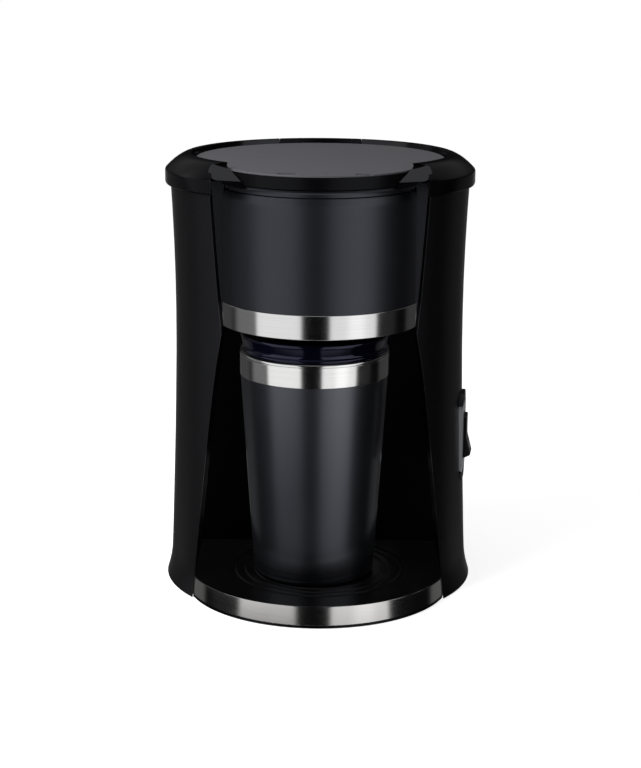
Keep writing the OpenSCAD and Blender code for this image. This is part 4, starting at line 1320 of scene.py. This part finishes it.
@dataclass
class MugLid(Upright):
    """The mug's clear tinted lid, with its drinking hole and the rails of its slider.

    Attributes:
        floor_rise: How far the floor lies above the flange.
        plug_step: How far the plug lies inside the mug's rim.
        seal_drop: How far the seal's middle lies below the flange.
        hole_in: How far the drinking hole's middle lies inside the rim.
        cut_low: How high the cutters of the inlet and the hole begin.
        rail_ahead: How far the slider's rails reach in front of the axis.
        rail_at: How far they lie beside it.
        rail_sink: How far they reach into the floor.
    """

    floor_rise: float = 6.0
    plug_step: float = 5.6
    seal_drop: float = 5.75
    hole_r: float = 2.6
    hole_in: float = 13.0
    inlet_r: float = 6.0
    cut_low: float = 120.0
    cut_h: float = 50.0
    rail_w: float = 1.8
    rail_l: float = 34.0
    rail_ahead: float = 10.0
    rail_at: float = 11.0
    rail_h: float = 2.2
    rail_sink: float = 0.1
    rail_edge: float = 0.3
    edge: float = 0.25

    def build(self) -> None:
        """Builds the lid and dresses its seal."""
        lid = self._turned_part()
        for cutter in self._holes():
            Bench.cut(lid, cutter)
        Bench.soften(lid, self.edge, 2, 50)
        lid = Bench.joined([lid, *self._rails()])
        Bench.smooth(lid)
        self.mount(lid, Finishes.MUG_LID, "mug_lid")
        self.dress("mug_lid_seal", Finishes.RUBBER)

    def _base(self) -> float:
        """Returns the height of the lid's flange, in millimetres."""
        return self.levels("mug_liner")[1] + 0.3

    def _turned_part(self) -> bpy.types.Object:
        """Turns the lid between its plug and its top bead.

        Returns:
            The lid, without its holes and rails.
        """
        low, top = self.levels("mug_lid")
        rim = self.reach("mug_band")
        plug = rim - self.plug_step
        base = self._base()
        floor = base + self.floor_rise
        seal = base - self.seal_drop
        profile = [
            (0, floor - 2), (plug - 2, base - 1), (plug - 2, low), (plug - 0.3, low), (plug, low + 0.3),
            (plug, seal - 1), (plug - 0.9, seal - 1), (plug - 0.9, seal + 1), (plug, seal + 1),
            (plug, base), (rim - 0.9, base), (rim - 0.45, base + 0.2), (rim - 0.3, base + 0.7),
            (rim - 0.35, base + 1.1), (rim - 0.55, base + 1.5), (rim - 0.95, base + 1.8),
            (rim - 1.2, base + 2.2), (rim - 1.3, base + 2.8), (rim - 1.2, base + 4.2),
            (rim - 0.6, top - 3.6), (rim - 0.45, top - 2.4), (rim - 0.5, top - 1.8),
            (rim - 0.8, top - 1.2), (rim - 1.4, top - 0.7), (rim - 2.5, top - 0.25), (rim - 4.2, top),
            (rim - 5.6, top - 0.1), (rim - 6.6, top - 0.5), (rim - 7.6, floor + 1.6),
            (rim - 8.2, floor + 0.4), (rim - 9.2, floor), (0, floor),
        ]
        return Bench.turned("mug_lid_form", self.axis(), profile, self.sides)

    def _holes(self) -> list[bpy.types.Object]:
        """Makes the cutters for the inlet and the drinking hole.

        Returns:
            The cutters.
        """
        low = self.axis() + Vector((0.0, 0.0, self.cut_low * MM))
        forward = Vector((0.0, -(self.reach("mug_band") - self.hole_in) * MM, 0.0))
        return [
            Bench.rod("inlet_cutter", low, self.cut_h * MM, self.inlet_r * MM, 48),
            Bench.rod("drinking_cutter", low + forward, self.cut_h * MM, self.hole_r * MM, 32),
        ]

    def _rails(self) -> list[bpy.types.Object]:
        """Makes the two rails that guide the slider.

        Returns:
            The rails.
        """
        floor = self._base() + self.floor_rise
        outer = self.rail_at + self.rail_w / 2
        low = self.axis() + Vector((-outer, -self.rail_ahead, floor - self.rail_sink)) * MM
        high = low + Vector((self.rail_w, self.rail_l, self.rail_h + self.rail_sink)) * MM
        rail = Bench.block("slider_rail", low, high)
        Bench.soften(rail, self.rail_edge)
        return [rail, Bench.copied(rail, "slider_rail_2", Vector((2 * self.rail_at * MM, 0.0, 0.0)))]


@dataclass
class SipSlider(Assembly):
    """The slider that closes the drinking hole, with ridges for the thumb."""

    plate: float = 1.3
    rim_w: float = 1.2
    rim_slope: float = 0.4
    hollow: float = 0.25
    grip_l: float = 3.0
    grip_in: float = 3.0
    grip_foot: float = 0.5
    ridges: int = 4
    ridge_w: float = 0.6
    ridge_h: float = 0.6
    ridge_in: float = 4.0
    edge: float = 0.25
    grip_edge: float = 0.3
    ridge_edge: float = 0.2

    def build(self) -> None:
        """Builds the slider."""
        low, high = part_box("sip_slider")
        plate = Bench.block("sip_slider_form", low, Vector((high.x, high.y, low.z + self.plate * MM)))
        with Bench.edit(plate):
            Bench.choose(plate, "FACE", lambda face: face.normal.z > 0.9)
            bpy.ops.mesh.inset(thickness=self.rim_w * MM)
            bpy.ops.mesh.inset(thickness=self.rim_slope * MM, depth=-self.hollow * MM)
        Bench.soften(plate, self.edge, 2, 40)
        side = self.grip_in * MM
        grip = Bench.block(
            "slider_grip",
            Vector((low.x + side, high.y - self.grip_l * MM, low.z + self.grip_foot * MM)),
            Vector((high.x - side, high.y, high.z - self.ridge_h / 2 * MM)),
        )
        Bench.soften(grip, self.grip_edge)
        step = self.grip_l / self.ridges
        start = high.y - (self.grip_l - step / 2 + self.ridge_w / 2) * MM
        side = self.ridge_in * MM
        ridge = Bench.block(
            "slider_ridge",
            Vector((low.x + side, start, high.z - self.ridge_h * MM)),
            Vector((high.x - side, start + self.ridge_w * MM, high.z)),
        )
        Bench.soften(ridge, self.ridge_edge)
        rest = [
            Bench.copied(ridge, f"slider_ridge_{i}", Vector((0.0, i * step * MM, 0.0)))
            for i in range(1, self.ridges)
        ]
        slider = Bench.joined([plate, grip, ridge, *rest])
        Bench.smooth(slider)
        self.mount(slider, Finishes.MUG_LID, "sip_slider")


# ---------------------------------------------------------------- light and camera


@dataclass(frozen=True)
class Card:
    """An upright light card round the object, in degrees from the camera's side, right positive.

    Attributes:
        low: Where it begins.
        high: Where it ends.
        soft: How wide its edges fade.
        power: How bright it is.
        fade: The angle from level at which it is half as bright towards its lower end.
    """

    low: float
    high: float
    soft: float
    power: float
    fade: float


@dataclass(frozen=True)
class Span:
    """A stretch of angles with soft ends, in degrees.

    Attributes:
        start: Where it fades in, or None where it is open.
        end: Where it fades out, or None where it is open.
    """

    start: Optional[Point] = None
    end: Optional[Point] = None

    def mask(self, angle: Value) -> Number:
        """Works out how far an angle lies in the stretch.

        Args:
            angle: The angle.

        Returns:
            1 inside the stretch, 0 outside it.
        """
        inside: Number = 1.0
        if self.start:
            inside = angle.step(*self.start)
        if self.end:
            inside = (1 - angle.step(*self.end)) * inside
        return inside


@dataclass(frozen=True)
class Glow:
    """A broad dim light, the same on the left and on the right.

    Attributes:
        power: How bright it is.
        away: How far round from the camera's side it lies.
        rise: How far above level it lies.
    """

    power: float
    away: Span = Span()
    rise: Span = Span()


@dataclass
class Studio:
    """A plain pale floor, soft lights round the object and a soft lamp above.

    Attributes:
        cards_top: The angles above level between which the cards fade out.
        cards_foot: How bright their lower ends are.
        fade_span: Half the angle over which they fade towards those ends.
        floor_glow: How bright they are again where the floor would lie.
        floor_glow_end: The angles between which that fades in.
        widen: How much wider they get for each degree above widen_from.
        dark: How bright the surroundings are between the lights.
        fill: What the surroundings give to matt surfaces.
        floor_size: How wide the floor is, in metres.
        floor_shown: What the floor adds to its tone for the camera alone.
        lamp_power: How strong the lamp is, in watts.
        lamp_size: How wide it is, in metres, as its place and aim are.
    """

    ABOVE = Span((46.0, 64.0))
    LOW = Span((-24.0, -15.0), (-6.0, 2.0))
    BESIDE = Span((112.0, 124.0), (158.0, 170.0))
    BEHIND = Span((150.0, 172.0))

    cards: tuple[Card, ...] = (
        Card(-77.5, -20.5, 5, 1.08, -21.2),
        Card(-112, -79, 14, 0.19, -17.0),
        Card(-150, -112, 14, 0.015, -17.0),
        Card(12, 69.5, 4, 1.05, -23.2),
        Card(34, 54, 12, 0.28, -23.2),
        Card(76, 98, 10, 0.02, -17.0),
    )
    cards_top: Point = (24.0, 42.0)
    cards_foot: float = 0.04
    fade_span: float = 3.2
    floor_glow: float = 0.75
    floor_glow_end: Point = (-35.0, -28.5)
    widen: float = 0.0065
    widen_from: float = -9.0
    widen_least: float = -0.08
    widen_most: float = 0.3
    dark: float = 0.004
    glows: tuple[Glow, ...] = (
        Glow(0.55, rise=ABOVE),
        Glow(0.2, Span((95.0, 135.0)), ABOVE),
        Glow(0.45, rise=Span(end=(-62.0, -40.0))),
        Glow(0.045, BESIDE, LOW),
        Glow(0.03, BESIDE, Span((2.0, 9.0))),
        Glow(0.08, BESIDE, Span((10.0, 24.0))),
        Glow(0.005, BEHIND),
        Glow(0.22, BEHIND, LOW),
        Glow(0.10, Span((114.0, 121.0), (144.0, 152.0)), Span((-26.0, -21.5), (-18.5, -16.0))),
    )
    fill: float = 0.3
    floor_size: float = 8.0
    floor_tone: float = 0.93
    floor_shown: float = 0.74
    lamp_power: float = 4.7
    lamp_size: float = 0.5
    lamp_place: Triple = (-0.42, -0.3, 0.62)
    lamp_aim: Triple = (0.0, 0.0, 0.1)

    def build(self) -> None:
        """Builds the floor, the world and the lamp."""
        self._floor()
        self._world()
        self._lamp()

    def _floor(self) -> None:
        """Lays a pale floor that keeps the object's shadow."""
        bpy.ops.mesh.primitive_plane_add(size=self.floor_size, location=(0.0, 0.0, 0.0))
        floor = bpy.context.object
        floor.name = "floor"
        material = bpy.data.materials.new("floor_paper")
        material.use_nodes = True
        graph = Graph(material.node_tree)
        seen = graph.node("ShaderNodeLightPath", output="Is Camera Ray")
        sockets = {
            "Base Color": _rgba((self.floor_tone,) * 3),
            "Roughness": 0.9,
            "Specular IOR Level": 0.0,
            "Emission Color": graph.mix((0, 0, 0), (self.floor_shown,) * 3, seen),
            "Emission Strength": 1.0,
        }
        graph.fill(material.node_tree.nodes["Principled BSDF"], sockets)
        floor.data.materials.append(material)
        floor.visible_glossy = False

    def _world(self) -> None:
        """Paints the surroundings: white to the camera, lights to glossy rays, a dim fill to the rest."""
        world = bpy.data.worlds.new("studio")
        world.use_nodes = True
        bpy.context.scene.world = world
        tree = world.node_tree
        tree.nodes.clear()
        graph = Graph(tree)
        x, y, z = graph.split(graph.node("ShaderNodeTexCoord", output="Generated"))
        turn = graph.node("ShaderNodeMath", {"operation": "ARCTAN2"}, {0: x, 1: y * -1.0})
        rise = graph.node("ShaderNodeMath", {"operation": "ARCSINE"}, {0: z})
        light = self._light(turn * (180 / math.pi), rise * (180 / math.pi))
        paths = ("Is Camera Ray", "Is Transmission Ray", "Is Glossy Ray")
        camera, through, glossy = (graph.node("ShaderNodeLightPath", output=path) for path in paths)
        shown = (camera + through).at_most(1.0) * (1 - glossy)
        strength = glossy * light + shown + (1 - glossy - shown) * self.fill
        sky = graph.node("ShaderNodeBackground", None, {"Color": _rgba(Finishes.PLAIN), "Strength": strength})
        out = tree.nodes.new("ShaderNodeOutputWorld")
        graph.plug(out.inputs["Surface"], sky)

    def _light(self, turn: Value, rise: Value) -> Value:
        """Adds up the cards and the glows.

        Args:
            turn: The angle round from the camera's side, in degrees, right positive.
            rise: The angle above level.

        Returns:
            How bright the surroundings are in that direction.
        """
        wider = (rise - self.widen_from) * self.widen
        across = turn / (1 + wider.at_least(self.widen_least).at_most(self.widen_most))
        under = 1 - rise.step(*self.floor_glow_end)
        light: Number = self.dark
        for card in self.cards:
            edge = card.soft / 2
            sides = Span((card.low - edge, card.low + edge), (card.high - edge, card.high + edge))
            upper = rise.step(card.fade - self.fade_span, card.fade + self.fade_span)
            height = self.cards_foot + (1 - self.cards_foot) * upper + self.floor_glow * under
            light = light + card.power * (sides.mask(across) * height)
        light = light * Span(end=self.cards_top).mask(rise)
        away = turn.size()
        for glow in self.glows:
            light = light + glow.power * (glow.away.mask(away) * glow.rise.mask(rise))
        return light

    def _lamp(self) -> None:
        """Hangs a wide soft lamp above the object."""
        lamp = bpy.data.lights.new("overhead", "AREA")
        lamp.shape = "DISK"
        lamp.size = self.lamp_size
        lamp.energy = self.lamp_power
        holder = bpy.data.objects.new("overhead", lamp)
        bpy.context.scene.collection.objects.link(holder)
        holder.location = self.lamp_place
        aim = Vector(self.lamp_aim) - Vector(self.lamp_place)
        holder.rotation_euler = aim.to_track_quat("-Z", "Y").to_euler()
        holder.visible_glossy = False


@dataclass
class Viewpoint:
    """The camera in front of the object, a little above it.

    Attributes:
        place: Where it stands, in metres.
        aim_z: The height on the mug's axis that it looks at, in metres.
        roll: How far it is rolled, in radians.
        shift: How far its lens is shifted, in widths of the picture.
        near: The nearest that it sees, in metres.
    """

    place: Triple = (0.00165, -0.9935, 0.35356)
    aim_z: float = 0.130
    roll: float = -0.0055
    lens: float = 84.49
    sensor: float = 36.0
    shift: Point = (0.0018, -0.0263)
    near: float = 0.01

    def build(self) -> None:
        """Sets up the camera."""
        low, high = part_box("mug_body")
        aim = Vector((0.0, (low.y + high.y) / 2, self.aim_z))
        ahead = (aim - Vector(self.place)).normalized()
        right = ahead.cross(Vector((0.0, 0.0, 1.0))).normalized()
        up = right.cross(ahead)
        cosine, sine = math.cos(self.roll), math.sin(self.roll)
        rows = (right * cosine - up * sine, right * sine + up * cosine, -ahead)
        camera = bpy.data.cameras.new("viewpoint")
        camera.sensor_width = self.sensor
        camera.lens = self.lens
        camera.shift_x, camera.shift_y = self.shift
        camera.clip_start = self.near
        holder = bpy.data.objects.new("viewpoint", camera)
        bpy.context.scene.collection.objects.link(holder)
        matrix = Matrix(rows).transposed().to_4x4()
        matrix.translation = Vector(self.place)
        holder.matrix_world = matrix
        bpy.context.scene.camera = holder


def main() -> None:
    """Builds the object's pieces, the studio and the camera."""
    logging.basicConfig(level=logging.INFO, format="%(message)s")
    assemblies = (
        Housing("machine"),
        Base("machine"),
        BrewHead("machine"),
        WaterSystem("machine"),
        Valve("valve_ball"),
        Switch("machine"),
        Rocker("rocker"),
        Lid("lid"),
        Mug("mug"),
        MugLid("mug_lid"),
        SipSlider("sip_slider"),
    )
    for assembly in assemblies:
        assembly.build()
    Studio().build()
    Viewpoint().build()
    bpy.context.scene.view_settings.view_transform = "Standard"


if __name__ == "__main__":
    main()
